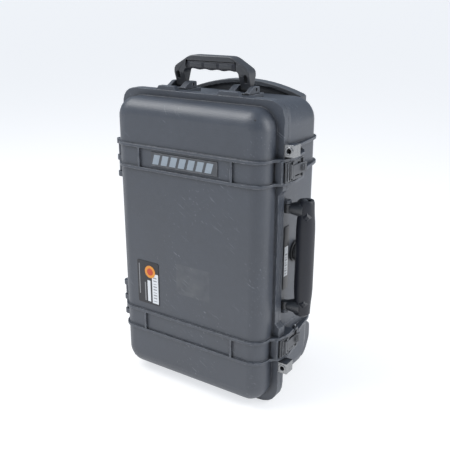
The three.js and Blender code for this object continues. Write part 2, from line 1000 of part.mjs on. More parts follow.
// An L of sheet steel over the padlock tab, with the padlock hole in its face.
function guard(z, faceY0, faceY1, sideY0, sideY1) {
  const z0 = z - guardHalfHeight;
  const z1 = z + guardHalfHeight;
  const face = block(rimHalfWidth + gap, guardOuterX, faceY0, faceY1, z0, z1);
  const side = block(guardOuterX - guardThickness, guardOuterX, sideY0, sideY1, z0, z1);
  const hole = cylinderY(padlockRadius, faceY0 - 1, faceY1 + 1, padlockX, z, 16);
  return join(face, side).subtract(hole);
}

["upper", "lower"].forEach((place, index) => {
  const z = guardCentres[index];
  add(
    "padlock_guard_lid_" + place,
    guard(z, guardFrontY, guardFrontY + guardThickness, guardFrontY, -gap / 2),
    "steel",
  );
  add(
    "padlock_guard_base_" + place,
    guard(z, guardBackY - guardThickness, guardBackY, gap / 2, guardBackY),
    "steel",
  );
});

// ---- Top handle --------------------------------------------------------------------------

function topHandleFrame() {
  const outline = outlineThrough([
    [-topHandleHalfWidth, topPivotZ],
    [-topHandleHalfWidth, topHandleTop - topShoulderDrop, 6],
    [-topHandleHalfWidth + topShoulderWidth, topHandleTop, 8],
    [topHandleHalfWidth - topShoulderWidth, topHandleTop, 8],
    [topHandleHalfWidth, topHandleTop - topShoulderDrop, 6],
    [topHandleHalfWidth, topPivotZ],
    [topLegInnerX, topPivotZ],
    [topLegInnerX, topGripUnderside - 2, 8],
    [-topLegInnerX, topGripUnderside - 2, 8],
    [-topLegInnerX, topPivotZ],
  ]);
  const half = topHandleThickness / 2;
  const slab = extrudeY(outline, topPivotY - half, topPivotY + half);
  const taper = [1, -1].map((side) =>
    extrudeX(
      outlineThrough([
        [topPivotY + side * topEyeRadius, topPivotZ - 12],
        [topPivotY + side * topEyeRadius, topPivotZ + 6],
        [topPivotY + side * (half + 0.5), topPivotZ + 22],
        [topPivotY + side * (half + 9), topPivotZ + 22],
        [topPivotY + side * (half + 9), topPivotZ - 12],
      ]),
      -beyond,
      beyond,
    ),
  );
  const legSlots = [1, -1].map((side) => {
    const x = side * (topHandleHalfWidth - 8);
    return extrudeY(
      roundedRectangle(x - 3, x + 3, topPivotZ + 10, topHandleTop - 28, 2.5),
      -beyond,
      beyond,
    );
  });
  const gripSeat = block(
    -topLegInnerX + 6,
    topLegInnerX - 6,
    -beyond,
    beyond,
    topGripUnderside - 10,
    topGripUnderside + topGripHeight,
  );
  const eyes = [1, -1].map((side) =>
    cylinderX(
      topEyeRadius,
      Math.min(side * topHandleHalfWidth, side * topLegInnerX),
      Math.max(side * topHandleHalfWidth, side * topLegInnerX),
      topPivotY,
      topPivotZ,
    ),
  );
  const bore = cylinderX(topPinRadius + gap, -beyond, beyond, topPivotY, topPivotZ, 14);
  return cut(join(cut(slab, ...taper, ...legSlots, gripSeat), ...eyes), bore);
}

function topHandleGrip() {
  const x = topLegInnerX - 6 - gap;
  const outline = outlineThrough([
    [-x, topGripUnderside - 1, 1],
    [-x * 0.55, topGripUnderside - 3, 4],
    [x * 0.55, topGripUnderside - 3, 4],
    [x, topGripUnderside - 1, 1],
    [x, topGripUnderside + topGripHeight - gap],
    [-x, topGripUnderside + topGripHeight - gap],
  ]);
  const half = topHandleThickness / 2 - 0.5;
  return extrudeY(outline, topPivotY - half, topPivotY + half);
}

// A U bracket whose two ears hold the handle's pin.
function topBracket(side) {
  const z0 = caseHeight + gap;
  const front = rimDepthBase + 4;
  const back = topPivotY + 10;
  const floor = block(bracketInnerX, bracketOuterX, front, back, z0, z0 + 2);
  const profile = outlineThrough([
    [front, z0],
    [back, z0],
    [back, caseHeight + bracketEarRise, 3],
    [topPivotY - 7, caseHeight + bracketEarRise + 1, 3],
    [front, z0 + 3],
  ]);
  const legGap = runningGap + 0.2;
  const inner = extrudeX(profile, bracketInnerX, topLegInnerX - legGap);
  const outer = extrudeX(profile, topHandleHalfWidth + legGap, bracketOuterX);
  const bore = cylinderX(topPinRadius + gap, 0, beyond, topPivotY, topPivotZ, 14);
  const swing = cylinderX(
    topEyeRadius + 2.4,
    topLegInnerX - legGap,
    topHandleHalfWidth + legGap,
    topPivotY,
    topPivotZ,
    20,
  );
  const clearance = block(
    topLegInnerX - legGap,
    topHandleHalfWidth + legGap,
    topPivotY,
    back + 1,
    z0 - 1,
    z0 + 3,
  );
  const bracket = cut(join(floor, inner, outer), bore, swing, clearance);
  return side > 0 ? bracket : mirrored(bracket);
}

add("top_handle_frame", topHandleFrame(), "handle");
add("top_handle_grip", topHandleGrip(), "grip");
[
  ["right", 1],
  ["left", -1],
].forEach(([place, side]) => {
  add("top_handle_bracket_" + place, topBracket(side), "handle");
  const pin = cylinderX(
    topPinRadius,
    bracketInnerX + 2,
    bracketOuterX - 2,
    topPivotY,
    topPivotZ,
    12,
  );
  add("top_handle_pin_" + place, side > 0 ? pin : mirrored(pin), "steel");
});

// ---- Side handle -------------------------------------------------------------------------

function sideHandleFrame() {
  const end = sideHandleHalfLength - sideArmInset;
  const core = cylinderZ(
    sideCoreRadius,
    sideHandleZ - end,
    sideHandleZ + end,
    sideBarX,
    sideBarY,
  );
  const arms = [1, -1].map((side) => {
    const near = sideHandleZ + side * end;
    const far = near - side * sideArmThickness;
    const z0 = Math.min(near, far);
    const z1 = Math.max(near, far);
    const arm = extrudeZ(
      outlineThrough([
        [sidePivotX, sidePivotY - sideEyeRadius],
        [sideBarX, sideBarY - sideCoreRadius],
        [sideBarX + sideCoreRadius - 2, sideBarY, 5],
        [sideBarX - 4, sideBarY + sideCoreRadius, 3],
        [sidePivotX, sidePivotY + sideEyeRadius],
      ]),
      z0,
      z1,
    );
    const eye = cylinderZ(sideEyeRadius, z0, z1, sidePivotX, sidePivotY);
    const bore = cylinderZ(sidePinRadius + gap, z0 - 1, z1 + 1, sidePivotX, sidePivotY, 14);
    return join(arm, eye).subtract(bore);
  });
  return join(core, ...arms);
}

function sideHandleGrip() {
  const end = sideHandleHalfLength;
  const sleeve = cylinderZ(
    sideBarRadius,
    sideHandleZ - end,
    sideHandleZ + end,
    sideBarX,
    sideBarY,
    24,
  );
  const bore = cylinderZ(
    sideCoreRadius + gap,
    sideHandleZ - end + sideArmInset - gap,
    sideHandleZ + end - sideArmInset + gap,
    sideBarX,
    sideBarY,
  );
  const armSlots = [1, -1].map((side) => {
    const near = sideHandleZ + side * (end - sideArmInset + gap);
    const far = near - side * (sideArmThickness + 2 * gap);
    return block(
      -beyond,
      sideBarX + sideCoreRadius - 1,
      -beyond,
      sideBarY + sideCoreRadius + gap,
      Math.min(near, far),
      Math.max(near, far),
    );
  });
  return cut(sleeve, bore, ...armSlots);
}

add("side_handle_frame", sideHandleFrame(), "handle");
add("side_handle_grip", sideHandleGrip(), "grip");
[
  ["upper", 1],
  ["lower", -1],
].forEach(([place, side]) => {
  const end = sideHandleZ + side * (sideHandleHalfLength - sideArmInset);
  const inner = end - side * (sideArmThickness - 2);
  const outer = end + side * sideEarThickness;
  add(
    "side_handle_pin_" + place,
    cylinderZ(
      sidePinRadius,
      Math.min(inner, outer),
      Math.max(inner, outer),
      sidePivotX,
      sidePivotY,
      12,
    ),
    "steel",
  );
});

// ---- Pressure valve ----------------------------------------------------------------------

const valveFlangeX = recessFloorX + gap;
const valveKnobX = valveFlangeX + valveFlangeThickness + gap;
const valveFlange = join(
  cylinderX(valveRadius, valveFlangeX, valveKnobX - gap, valveY, valveZ, 20),
  cylinderX(
    valveStemRadius - gap,
    cavityHalfWidth - 2,
    valveFlangeX + 1,
    valveY,
    valveZ,
    16,
  ),
);
add("pressure_valve_body", valveFlange, "handle");

const valveKnobEndX = valveKnobX + valveKnobThickness;
const valveRidges = [...Array(8).keys()].map((index) => {
  const angle = (index * Math.PI) / 4;
  return cylinderX(
    2,
    valveKnobX,
    valveKnobEndX,
    valveY + Math.cos(angle) * valveKnobRadius,
    valveZ + Math.sin(angle) * valveKnobRadius,
    8,
  );
});
add(
  "pressure_valve_knob",
  join(
    cylinderX(valveKnobRadius, valveKnobX, valveKnobEndX, valveY, valveZ, 20),
    ...valveRidges,
  ),
  "rubber",
);

// ---- Trolley handle ----------------------------------------------------------------------

function tube(x, width, depth, z0, z1) {
  const outer = roundedRectangle(
    x - width / 2,
    x + width / 2,
    trolleyY - depth / 2,
    trolleyY + depth / 2,
    tubeCorner,
  );
  const inner = roundedRectangle(
    x - width / 2 + tubeWall,
    x + width / 2 - tubeWall,
    trolleyY - depth / 2 + tubeWall,
    trolleyY + depth / 2 - tubeWall,
    1,
  );
  return cut(extrudeZ(outer, z0, z1, 2), extrudeZ(inner, z0 - 1, z1 + 1, 2));
}

const stageStep = 2 * (tubeWall + runningGap);
const middleTube = {
  width: fixedTube.width - stageStep,
  depth: fixedTube.depth - stageStep,
};
const innerTube = {
  width: middleTube.width - stageStep,
  depth: middleTube.depth - stageStep,
};
const gripSocketTop = gripEndTop - 6;
const tubeBackY = trolleyY + fixedTube.depth / 2;
const guideTop = nestBottom - 2 * gap;

[
  ["right", 1],
  ["left", -1],
].forEach(([place, side]) => {
  const x = side * trolleyHalfSpacing;
  add(
    "trolley_fixed_tube_" + place,
    tube(x, fixedTube.width, fixedTube.depth, tubeBottom, tubeTop),
    "aluminium",
  );
  add(
    "trolley_middle_tube_" + place,
    tube(x, middleTube.width, middleTube.depth, tubeBottom + 5, tubeTop + stageRise),
    "aluminium",
  );
  add(
    "trolley_inner_tube_" + place,
    tube(x, innerTube.width, innerTube.depth, tubeBottom + 10, gripSocketTop),
    "aluminium",
  );
});

// Sockets round both fixed tubes, open at the back and from z0 to z1.
function tubeSockets(z0, z1) {
  return [1, -1].map((side) =>
    block(
      side * trolleyHalfSpacing - fixedTube.width / 2 - gap,
      side * trolleyHalfSpacing + fixedTube.width / 2 + gap,
      trolleyY - fixedTube.depth / 2 - gap,
      beyond,
      z0,
      z1,
    ),
  );
}

// The foot that both fixed tubes stand in.
function trolleyFoot() {
  const z0 = channelBottom + gap;
  const bar = block(
    -channelHalfWidth + gap,
    channelHalfWidth - gap,
    channelFloorY + gap,
    tubeBackY,
    z0,
    z0 + footHeight,
  );
  return cut(bar, ...tubeSockets(tubeBottom - gap, beyond));
}

// The guide at the top of the channel, which both fixed tubes pass into.
function trolleyGuide() {
  const bar = block(
    -channelHalfWidth + gap,
    channelHalfWidth - gap,
    channelFloorY + gap,
    tubeBackY,
    guideTop - guideHeight,
    guideTop,
  );
  return cut(bar, ...tubeSockets(-beyond, beyond));
}

const coverY0 = tubeBackY + gap;
const coverY1 = coverY0 + coverThickness;
const screwPlaces = [
  [screwX, channelBottom + footHeight / 2],
  [-screwX, channelBottom + footHeight / 2],
  [screwX, guideTop - guideHeight / 2],
  [-screwX, guideTop - guideHeight / 2],
];

function trolleyCover() {
  const plate = extrudeY(
    roundedRectangle(
      -channelHalfWidth + 1,
      channelHalfWidth - 1,
      channelBottom + 1,
      nestBottom - 1,
      8,
    ),
    coverY0,
    coverY1,
  );
  const ribs = [-40, 0, 40].map((x) =>
    block(
      x - 3,
      x + 3,
      coverY1 - 1,
      coverY1 + coverRibProud,
      channelBottom + footHeight + 12,
      guideTop - guideHeight - 12,
    ),
  );
  const holes = screwPlaces.map(([x, z]) =>
    cylinderY(screwRadius + gap, coverY0 - 1, coverY1 + 1, x, z, 12),
  );
  return cut(join(plate, ...ribs), ...holes);
}

function coverScrew(x, z) {
  const shank = cylinderY(screwRadius, coverY0 - 7, coverY1 + 1, x, z, 10);
  const head = cylinderY(screwHeadRadius, coverY1 + gap, coverY1 + 2.5, x, z, 14);
  return join(shank, head);
}

const screwHoles = screwPlaces.map(([x, z]) =>
  cylinderY(screwRadius + gap, 0, beyond, x, z, 12),
);
add("trolley_foot", cut(trolleyFoot(), ...screwHoles), "handle");
add("trolley_guide", cut(trolleyGuide(), ...screwHoles), "handle");
add("trolley_cover", trolleyCover(), "handle");
screwPlaces.forEach(([x, z], index) => {
  add("trolley_cover_screw_" + (index + 1), coverScrew(x, z), "steel");
});

const buttonTop = nestBottom + 9;

// The arched grip: a band with a groove along its front, on two sockets over the inner tubes.
function trolleyGrip() {
  const y0 = trolleyY - gripDepth / 2;
  const y1 = trolleyY + gripDepth / 2;
  const bottom = nestBottom + 5;
  const arch = new THREE.Shape();
  arch.moveTo(-gripHalfWidth, bottom + 2);
  arch.lineTo(gripHalfWidth, bottom + 2);
  arch.lineTo(gripHalfWidth, gripEndTop - 3);
  arch.lineTo(gripHalfWidth - 4, gripEndTop);
  arch.quadraticCurveTo(0, 2 * gripArchTop - gripEndTop, -gripHalfWidth + 4, gripEndTop);
  arch.lineTo(-gripHalfWidth, gripEndTop - 3);
  arch.closePath();
  const body = extrudeY(arch, y0, y1, 14);
  const hollow = new THREE.Shape();
  hollow.moveTo(-gripHalfWidth + gripSkin, bottom);
  hollow.lineTo(gripHalfWidth - gripSkin, bottom);
  hollow.lineTo(gripHalfWidth - gripSkin, gripEndTop - gripSkin);
  hollow.quadraticCurveTo(
    0,
    2 * gripArchTop - gripEndTop - gripSkin,
    -gripHalfWidth + gripSkin,
    gripEndTop - gripSkin,
  );
  hollow.closePath();
  const front = extrudeY(hollow, y0 - 1, y0 + gripGroove, 14);
  const buttonSlot = block(
    -buttonHalfWidth,
    buttonHalfWidth,
    y0 - 5,
    y1 + 5,
    bottom - 5,
    buttonTop + buttonTravel + runningGap,
  );
  const sockets = [1, -1].map((side) =>
    block(
      side * trolleyHalfSpacing - innerTube.width / 2 - gap,
      side * trolleyHalfSpacing + innerTube.width / 2 + gap,
      trolleyY - innerTube.depth / 2 - gap,
      trolleyY + innerTube.depth / 2 + gap,
      -beyond,
      gripSocketTop + gap,
    ),
  );
  return cut(body, front, buttonSlot, ...sockets);
}

add("trolley_grip", trolleyGrip(), "handle");
add(
  "trolley_release_button",
  block(
    -buttonHalfWidth + runningGap,
    buttonHalfWidth - runningGap,
    trolleyY - gripDepth / 2 + gripGroove + 1,
    trolleyY + gripDepth / 2 - 2,
    nestBottom + 3.5,
    buttonTop,
  ),
  "rubber",
);

// ---- Wheels ------------------------------------------------------------------------------

// A ring round the wheel axis from a closed profile of [radius, x] points.
function ring(profile, sides) {
  const points = profile.map(([radius, x]) => new THREE.Vector2(radius, x));
  points.push(points[0].clone());
  const geometry = new THREE.LatheGeometry(points, sides);
  geometry.rotateZ(-Math.PI / 2);
  const made = solid(geometry);
  return made.volume() < 0 ? solid(geometry.scale(1, 1, -1)) : made;
}

const wheelHalf = (wheelOuterX - wheelInnerX) / 2;
const wheelMiddleX = (wheelInnerX + wheelOuterX) / 2;

function tyre() {
  return ring(
    [
      [hubRadius + gap, -wheelHalf],
      [wheelRadius - 3, -wheelHalf],
      [wheelRadius, -wheelHalf + 4],
      [wheelRadius, wheelHalf - 4],
      [wheelRadius - 3, wheelHalf],
      [hubRadius + gap, wheelHalf],
    ],
    26,
  );
}

function hub() {
  return ring(
    [
      [bearingRadius + gap, -wheelHalf + 1],
      [hubRadius, -wheelHalf + 1],
      [hubRadius, wheelHalf - 1],
      [bearingRadius + gap, wheelHalf - 1],
    ],
    20,
  );
}

function bearing() {
  return ring(
    [
      [axleRadius + gap, -wheelHalf + 0.5],
      [bearingRadius, -wheelHalf + 0.5],
      [bearingRadius, wheelHalf - 0.5],
      [axleRadius + gap, wheelHalf - 0.5],
    ],
    16,
  );
}

function axle() {
  return cylinderX(
    axleRadius,
    cheekInnerX + 1,
    cheekOuterX - cheekThickness - gap,
    wheelY,
    wheelZ,
    14,
  );
}

[
  ["right", 1],
  ["left", -1],
].forEach(([place, side]) => {
  const put = (piece) => {
    const placed = piece.translate([wheelMiddleX, wheelY, wheelZ]);
    return side > 0 ? placed : mirrored(placed);
  };
  const handed = (piece) => (side > 0 ? piece : mirrored(piece));
  const above = block(0, beyond, 0, beyond, housingSeam + gap / 2, beyond);
  const below = block(0, beyond, 0, beyond, -beyond, housingSeam - gap / 2);
  add("wheel_tyre_" + place, put(tyre()), "rubber");
  add("wheel_hub_" + place, put(hub()), "handle");
  add("wheel_bearing_" + place, put(bearing()), "steel");
  add("wheel_axle_" + place, handed(axle()), "steel");
  add("wheel_housing_" + place, handed(wheelHousing().intersect(above)), "handle");
  add("wheel_fender_" + place, handed(wheelHousing().intersect(below)), "handle");
});

// ---- Nameplate and labels ----------------------------------------------------------------

add(
  "nameplate",
  extrudeY(
    roundedRectangle(
      -nameplate.halfWidth,
      nameplate.halfWidth,
      bandCentres[0] - nameplate.halfHeight,
      bandCentres[0] + nameplate.halfHeight,
      3,
    ),
    lidFrontY - gap - nameplate.thickness,
    lidFrontY - gap,
  ),
  "plate",
);
add(
  "asset_label",
  block(
    assetLabel.left,
    assetLabel.right,
    lidFrontY - gap - assetLabel.thickness,
    lidFrontY - gap,
    assetLabelBottom,
    assetLabelBottom + assetLabel.height,
  ),
  "label",
);
add(
  "serial_label",
  block(
    recessFloorX + gap,
    recessFloorX + gap + serialLabel.thickness,
    serialLabel.front,
    serialLabel.back,
    serialLabelBottom,
    serialLabelBottom + serialLabel.height,
  ),
  "label",
);

// The frame's origin is on the floor under the middle of the object's box.
const reach = new THREE.Box3().setFromObject(flightCase);
flightCase.position.set(
  -(reach.min.x + reach.max.x) / 2,
  -(reach.min.y + reach.max.y) / 2,
  -reach.min.z,
);

export default flightCase;
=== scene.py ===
import math

import bmesh
import bpy
from mathutils import Matrix, Vector


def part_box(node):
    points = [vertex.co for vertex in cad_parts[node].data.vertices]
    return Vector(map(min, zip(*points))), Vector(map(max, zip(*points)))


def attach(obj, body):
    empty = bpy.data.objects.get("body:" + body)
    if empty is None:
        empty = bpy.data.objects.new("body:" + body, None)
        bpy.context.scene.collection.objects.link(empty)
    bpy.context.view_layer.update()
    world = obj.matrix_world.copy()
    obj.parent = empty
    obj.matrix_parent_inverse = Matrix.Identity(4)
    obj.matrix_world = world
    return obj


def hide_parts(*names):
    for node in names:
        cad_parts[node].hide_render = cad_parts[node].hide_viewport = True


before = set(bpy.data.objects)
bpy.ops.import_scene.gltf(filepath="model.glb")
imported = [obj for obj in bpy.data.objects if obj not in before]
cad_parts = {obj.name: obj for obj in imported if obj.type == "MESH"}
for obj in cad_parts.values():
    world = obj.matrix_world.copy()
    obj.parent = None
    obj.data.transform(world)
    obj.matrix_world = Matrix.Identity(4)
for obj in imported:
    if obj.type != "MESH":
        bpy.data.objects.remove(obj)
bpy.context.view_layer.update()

# ---- Studio ------------------------------------------------------------------------------
# A pale paper floor in a white room, lit softly from above and from the right.
# The camera stands to the right of the case and a little above it.

camera_azimuth = math.radians(33.69)
camera_elevation = math.radians(18.96)
camera_distance = 1.219
camera_aim = Vector((0.00415, -0.003, 0.289))
towards_camera = Vector(
    (
        math.sin(camera_azimuth) * math.cos(camera_elevation),
        -math.cos(camera_azimuth) * math.cos(camera_elevation),
        math.sin(camera_elevation),
    )
)
camera = bpy.data.objects.new("camera", bpy.data.cameras.new("camera"))
camera.data.sensor_width = 36
camera.data.lens = 53.28
camera.data.clip_end = 1000
camera.location = camera_aim + towards_camera * camera_distance
camera.rotation_euler = (math.pi / 2 - camera_elevation, 0, camera_azimuth)
bpy.context.scene.collection.objects.link(camera)
bpy.context.scene.camera = camera
bpy.context.scene.view_settings.view_transform = "Standard"

room = bpy.data.worlds.new("white room")
room.use_nodes = True
room.node_tree.nodes["Background"].inputs["Color"].default_value = (0.76, 0.86, 1.0, 1)
room.node_tree.nodes["Background"].inputs["Strength"].default_value = 0.5
bpy.context.scene.world = room
# The backdrop that the camera sees behind the floor is paler than the room's own light.
backdrop = room.node_tree.nodes.new("ShaderNodeBackground")
backdrop.inputs["Color"].default_value = (0.95, 0.97, 1.0, 1)
seen = room.node_tree.nodes.new("ShaderNodeLightPath")
chosen = room.node_tree.nodes.new("ShaderNodeMixShader")
room.node_tree.links.new(seen.outputs["Is Camera Ray"], chosen.inputs[0])
room.node_tree.links.new(room.node_tree.nodes["Background"].outputs[0], chosen.inputs[1])
room.node_tree.links.new(backdrop.outputs[0], chosen.inputs[2])
room.node_tree.links.new(chosen.outputs[0], room.node_tree.nodes["World Output"].inputs[0])


def soft_lamp(name, place, aim, width, height, power):
    lamp = bpy.data.lights.new(name, "AREA")
    lamp.shape = "RECTANGLE"
    lamp.size = width
    lamp.size_y = height
    lamp.energy = power
    holder = bpy.data.objects.new(name, lamp)
    holder.location = place
    direction = Vector(aim) - Vector(place)
    holder.rotation_euler = direction.to_track_quat("-Z", "Y").to_euler()
    bpy.context.scene.collection.objects.link(holder)


soft_lamp("lamp_above", (-1.0, -0.75, 2.0), (0, 0, 0.4), 1.5, 1.5, 34)
soft_lamp("lamp_right", (1.6, 0.5, 1.1), (0.1, 0, 0.35), 0.7, 1.4, 16)


def new_material(name):
    material = bpy.data.materials.new(name)
    material.use_nodes = True
    tree = material.node_tree
    return material, tree, tree.nodes["Principled BSDF"]


def link_mesh(name, mesh):
    piece = bpy.data.objects.new(name, mesh)
    bpy.context.scene.collection.objects.link(piece)
    return piece


floor_half_width = 200
floor_mesh = bpy.data.meshes.new("floor")
shape = bmesh.new()
bmesh.ops.create_grid(shape, x_segments=2, y_segments=2, size=floor_half_width)
shape.to_mesh(floor_mesh)
shape.free()
floor = link_mesh("floor", floor_mesh)
paper, _, paper_shader = new_material("paper")
paper_shader.inputs["Base Color"].default_value = (0.5, 0.48, 0.46, 1)
paper_shader.inputs["Emission Color"].default_value = (0.95, 0.97, 1.0, 1)
paper_shader.inputs["Emission Strength"].default_value = 0.7
paper_shader.inputs["Roughness"].default_value = 0.95
paper_shader.inputs["Specular IOR Level"].default_value = 0.1
floor.data.materials.append(paper)

# ---- Lid and base shells -------------------------------------------------------------------
# Two injection moulded halves in grey structural resin, with a satin pebble grain.
# Their edges and ribs are rubbed paler, and dust sits in the corners.


def add_node(tree, kind, inputs=(), **settings):
    node = tree.nodes.new("ShaderNode" + kind)
    for setting, value in settings.items():
        setattr(node, setting, value)
    for socket, value in dict(inputs).items():
        if isinstance(value, bpy.types.NodeSocket):
            tree.links.new(value, node.inputs[socket])
        else:
            node.inputs[socket].default_value = value
    return node


def calculate(tree, operation, first, second=0.5):
    return add_node(tree, "Math", {0: first, 1: second}, operation=operation).outputs[0]


def ramp(tree, value, low, high):
    inputs = {"Value": value, "From Min": low, "From Max": high}
    return add_node(tree, "MapRange", inputs, clamp=True).outputs["Result"]


def place_pattern(tree, turn=(0, 0, 0), stretch=(1, 1, 1), centre=(0, 0, 0)):
    coordinates = add_node(tree, "TexCoord").outputs["Object"]
    inputs = {"Vector": coordinates, "Location": centre, "Rotation": turn}
    turned = add_node(tree, "Mapping", inputs).outputs["Vector"]
    return add_node(tree, "VectorMath", {0: turned, 1: stretch}, operation="MULTIPLY").outputs["Vector"]


def new_effect(name, inputs, outputs):
    tree = bpy.data.node_groups.new(name, "ShaderNodeTree")
    for label, usual in inputs.items():
        socket = tree.interface.new_socket(label, in_out="INPUT", socket_type="NodeSocketFloat")
        socket.default_value = usual
    for label in outputs:
        tree.interface.new_socket(label, in_out="OUTPUT", socket_type="NodeSocketFloat")
    entry = tree.nodes.new("NodeGroupInput").outputs
    result = tree.nodes.new("NodeGroupOutput").inputs
    return tree, entry, result


def place_effect(tree, effect, **inputs):
    node = tree.nodes.new("ShaderNodeGroup")
    node.node_tree = effect
    for label, value in inputs.items():
        node.inputs[label].default_value = value
    return node.outputs


def lay_over(tree, mask, under, over):
    node = add_node(tree, "Mix", {0: mask, 6: under, 7: over}, data_type="RGBA")
    return node.outputs[2]


# Pebble grain of the mould, and the slow mottling of the resin.
grain, entry, result = new_effect("moulded grain", {"Cell": 900}, ["Height", "Mottle"])
spot = place_pattern(grain)
pebbles = add_node(grain, "TexVoronoi", {"Vector": spot, "Scale": entry["Cell"]}).outputs["Distance"]
fine_scale = calculate(grain, "MULTIPLY", entry["Cell"], 1.7)
fine = add_node(grain, "TexNoise", {"Vector": spot, "Scale": fine_scale, "Detail": 2}).outputs["Fac"]
broad = add_node(grain, "TexNoise", {"Vector": spot, "Scale": 13, "Detail": 4}).outputs["Fac"]
small = add_node(grain, "TexNoise", {"Vector": spot, "Scale": 90, "Detail": 3}).outputs["Fac"]
grain.links.new(calculate(grain, "ADD", pebbles, fine), result["Height"])
broad_share = calculate(grain, "MULTIPLY", broad, 0.4)
small_share = calculate(grain, "MULTIPLY", small, 0.2)
slow = calculate(grain, "ADD", broad_share, small_share)
mottle = calculate(grain, "ADD", slow, calculate(grain, "MULTIPLY", fine, 0.4))
grain.links.new(ramp(grain, mottle, 0.38, 0.62), result["Mottle"])

# Edges that stand proud and are rubbed in use, broken up along their length.
rub, entry, result = new_effect("edge rub", {"Reach": 0.002, "Breaks": 120}, ["Mask"])
surface = add_node(rub, "NewGeometry").outputs["Normal"]
rounded = add_node(rub, "Bevel", {"Radius": entry["Reach"]}, samples=4).outputs["Normal"]
alike = add_node(rub, "VectorMath", {0: surface, 1: rounded}, operation="DOT_PRODUCT").outputs["Value"]
turned_away = ramp(rub, calculate(rub, "SUBTRACT", 1.0, alike), 0.015, 0.16)
open_air = add_node(rub, "AmbientOcclusion", {"Distance": 0.006}, samples=4).outputs["AO"]
proud = ramp(rub, open_air, 0.55, 0.85)
spot = place_pattern(rub)
breaks = add_node(rub, "TexNoise", {"Vector": spot, "Scale": entry["Breaks"], "Detail": 3}).outputs["Fac"]
patches = ramp(rub, breaks, 0.4, 0.62)
exposed = calculate(rub, "MULTIPLY", turned_away, proud)
rub.links.new(calculate(rub, "MULTIPLY", exposed, patches), result["Mask"])

# Hairline scratches in two directions, only where something has brushed past.
scratches, entry, result = new_effect("hairline scratches", {"Spread": 11}, ["Mask"])
hairs = []
directions = (
    ((0.4, 0.6, 0.3), (480, 480, 22)),
    ((-0.5, -0.5, 0.2), (30, 430, 560)),
)
for turn, stretch in directions:
    spot = place_pattern(scratches, turn=turn, stretch=stretch)
    streak = add_node(scratches, "TexNoise", {"Vector": spot, "Scale": 1, "Detail": 1}).outputs["Fac"]
    hairs.append(ramp(scratches, streak, 0.7, 0.76))
spot = place_pattern(scratches, centre=(0.3, 0.7, 0.2))
patchy = {"Vector": spot, "Scale": entry["Spread"], "Detail": 2}
where = add_node(scratches, "TexNoise", patchy).outputs["Fac"]
brushed_past = ramp(scratches, where, 0.5, 0.66)
either = calculate(scratches, "MAXIMUM", hairs[0], hairs[1])
scratches.links.new(calculate(scratches, "MULTIPLY", either, brushed_past), result["Mask"])

# Dust in corners and under ribs.
dust, entry, result = new_effect("settled dust", {"Reach": 0.012}, ["Mask"])
open_air = add_node(dust, "AmbientOcclusion", {"Distance": entry["Reach"]}, samples=4).outputs["AO"]
tucked_in = ramp(dust, calculate(dust, "SUBTRACT", 1.0, open_air), 0.15, 0.75)
spot = place_pattern(dust)
drift = add_node(dust, "TexNoise", {"Vector": spot, "Scale": 70, "Detail": 5}).outputs["Fac"]
dust.links.new(calculate(dust, "MULTIPLY", tucked_in, ramp(dust, drift, 0.42, 0.7)), result["Mask"])

# Painted shade: the colour is darkened towards near black in seams, slots and the feet of ribs, wherever
# ambient occlusion finds them close in.
shade, entry, result = new_effect("painted seam shade", {"Reach": 0.009}, ["Mask"])
open_air = add_node(shade, "AmbientOcclusion", {"Distance": entry["Reach"]}, samples=6).outputs["AO"]
shade.links.new(ramp(shade, calculate(shade, "SUBTRACT", 1.0, open_air), 0.12, 0.6), result["Mask"])


dry_dust = (0.17, 0.155, 0.135)
fine_dust = (0.15, 0.14, 0.12)
# Near-black colour of the painted shade in seams and slots.
painted_shade_colour = (0.004, 0.004, 0.005)


def moulded_plastic(
    name,
    dark,
    light,
    rubbed,
    dusty,
    roughness,
    cell,
    relief,
    rub_share=0.8,
    dust_share=0.4,
    seam=0.009,
):
    material, tree, shader = new_material(name)
    shader.inputs["Specular IOR Level"].default_value = 0.95
    grained = place_effect(tree, grain, Cell=cell)
    edges = calculate(tree, "MULTIPLY", place_effect(tree, rub)["Mask"], rub_share)
    marks = place_effect(tree, scratches)["Mask"]
    settled = calculate(tree, "MULTIPLY", place_effect(tree, dust)["Mask"], dust_share)
    colour = lay_over(tree, grained["Mottle"], (*dark, 1), (*light, 1))
    # Painted shade: the colour goes to near black in seams and slots, and the roughness rises there.
    painted_shade_mask = calculate(tree, "MULTIPLY", place_effect(tree, shade, Reach=seam)["Mask"], 0.85)
    colour = lay_over(tree, painted_shade_mask, colour, (*painted_shade_colour, 1))
    colour = lay_over(tree, calculate(tree, "MULTIPLY", marks, 0.5), colour, (*rubbed, 1))
    colour = lay_over(tree, edges, colour, (*rubbed, 1))
    colour = lay_over(tree, settled, colour, (*dusty, 1))
    tree.links.new(colour, shader.inputs["Base Color"])
    spread = {"Value": grained["Mottle"], "To Min": roughness - 0.05, "To Max": roughness + 0.07}
    sheen = add_node(tree, "MapRange", spread)
    duller = calculate(tree, "ADD", sheen.outputs["Result"], calculate(tree, "MULTIPLY", painted_shade_mask, 0.4))
    tree.links.new(duller, shader.inputs["Roughness"])
    height = calculate(tree, "SUBTRACT", grained["Height"], calculate(tree, "MULTIPLY", marks, 0.6))
    bump = add_node(tree, "Bump", {"Height": height, "Strength": relief, "Distance": 0.0003})
    tree.links.new(bump.outputs["Normal"], shader.inputs["Normal"])
    return material


def soften_edges(piece, width, weld=False):
    piece.data.polygons.foreach_set("use_smooth", [True] * len(piece.data.polygons))
    if weld:
        piece.modifiers.new("weld", "WELD").merge_threshold = 0.00001
    bevel = piece.modifiers.new("edges", "BEVEL")
    bevel.width = width
    bevel.segments = 2
    bevel.limit_method = "ANGLE"
    bevel.angle_limit = math.radians(32)
    bevel.use_clamp_overlap = False
    bevel.miter_outer = "MITER_ARC"
    weighted = piece.modifiers.new("normals", "WEIGHTED_NORMAL")
    weighted.weight = 60
    weighted.keep_sharp = False


def finish_nodes(material, edge, *names):
    for name in names:
        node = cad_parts[name]
        node.data.materials.clear()
        node.data.materials.append(material)
        soften_edges(node, edge, weld=True)


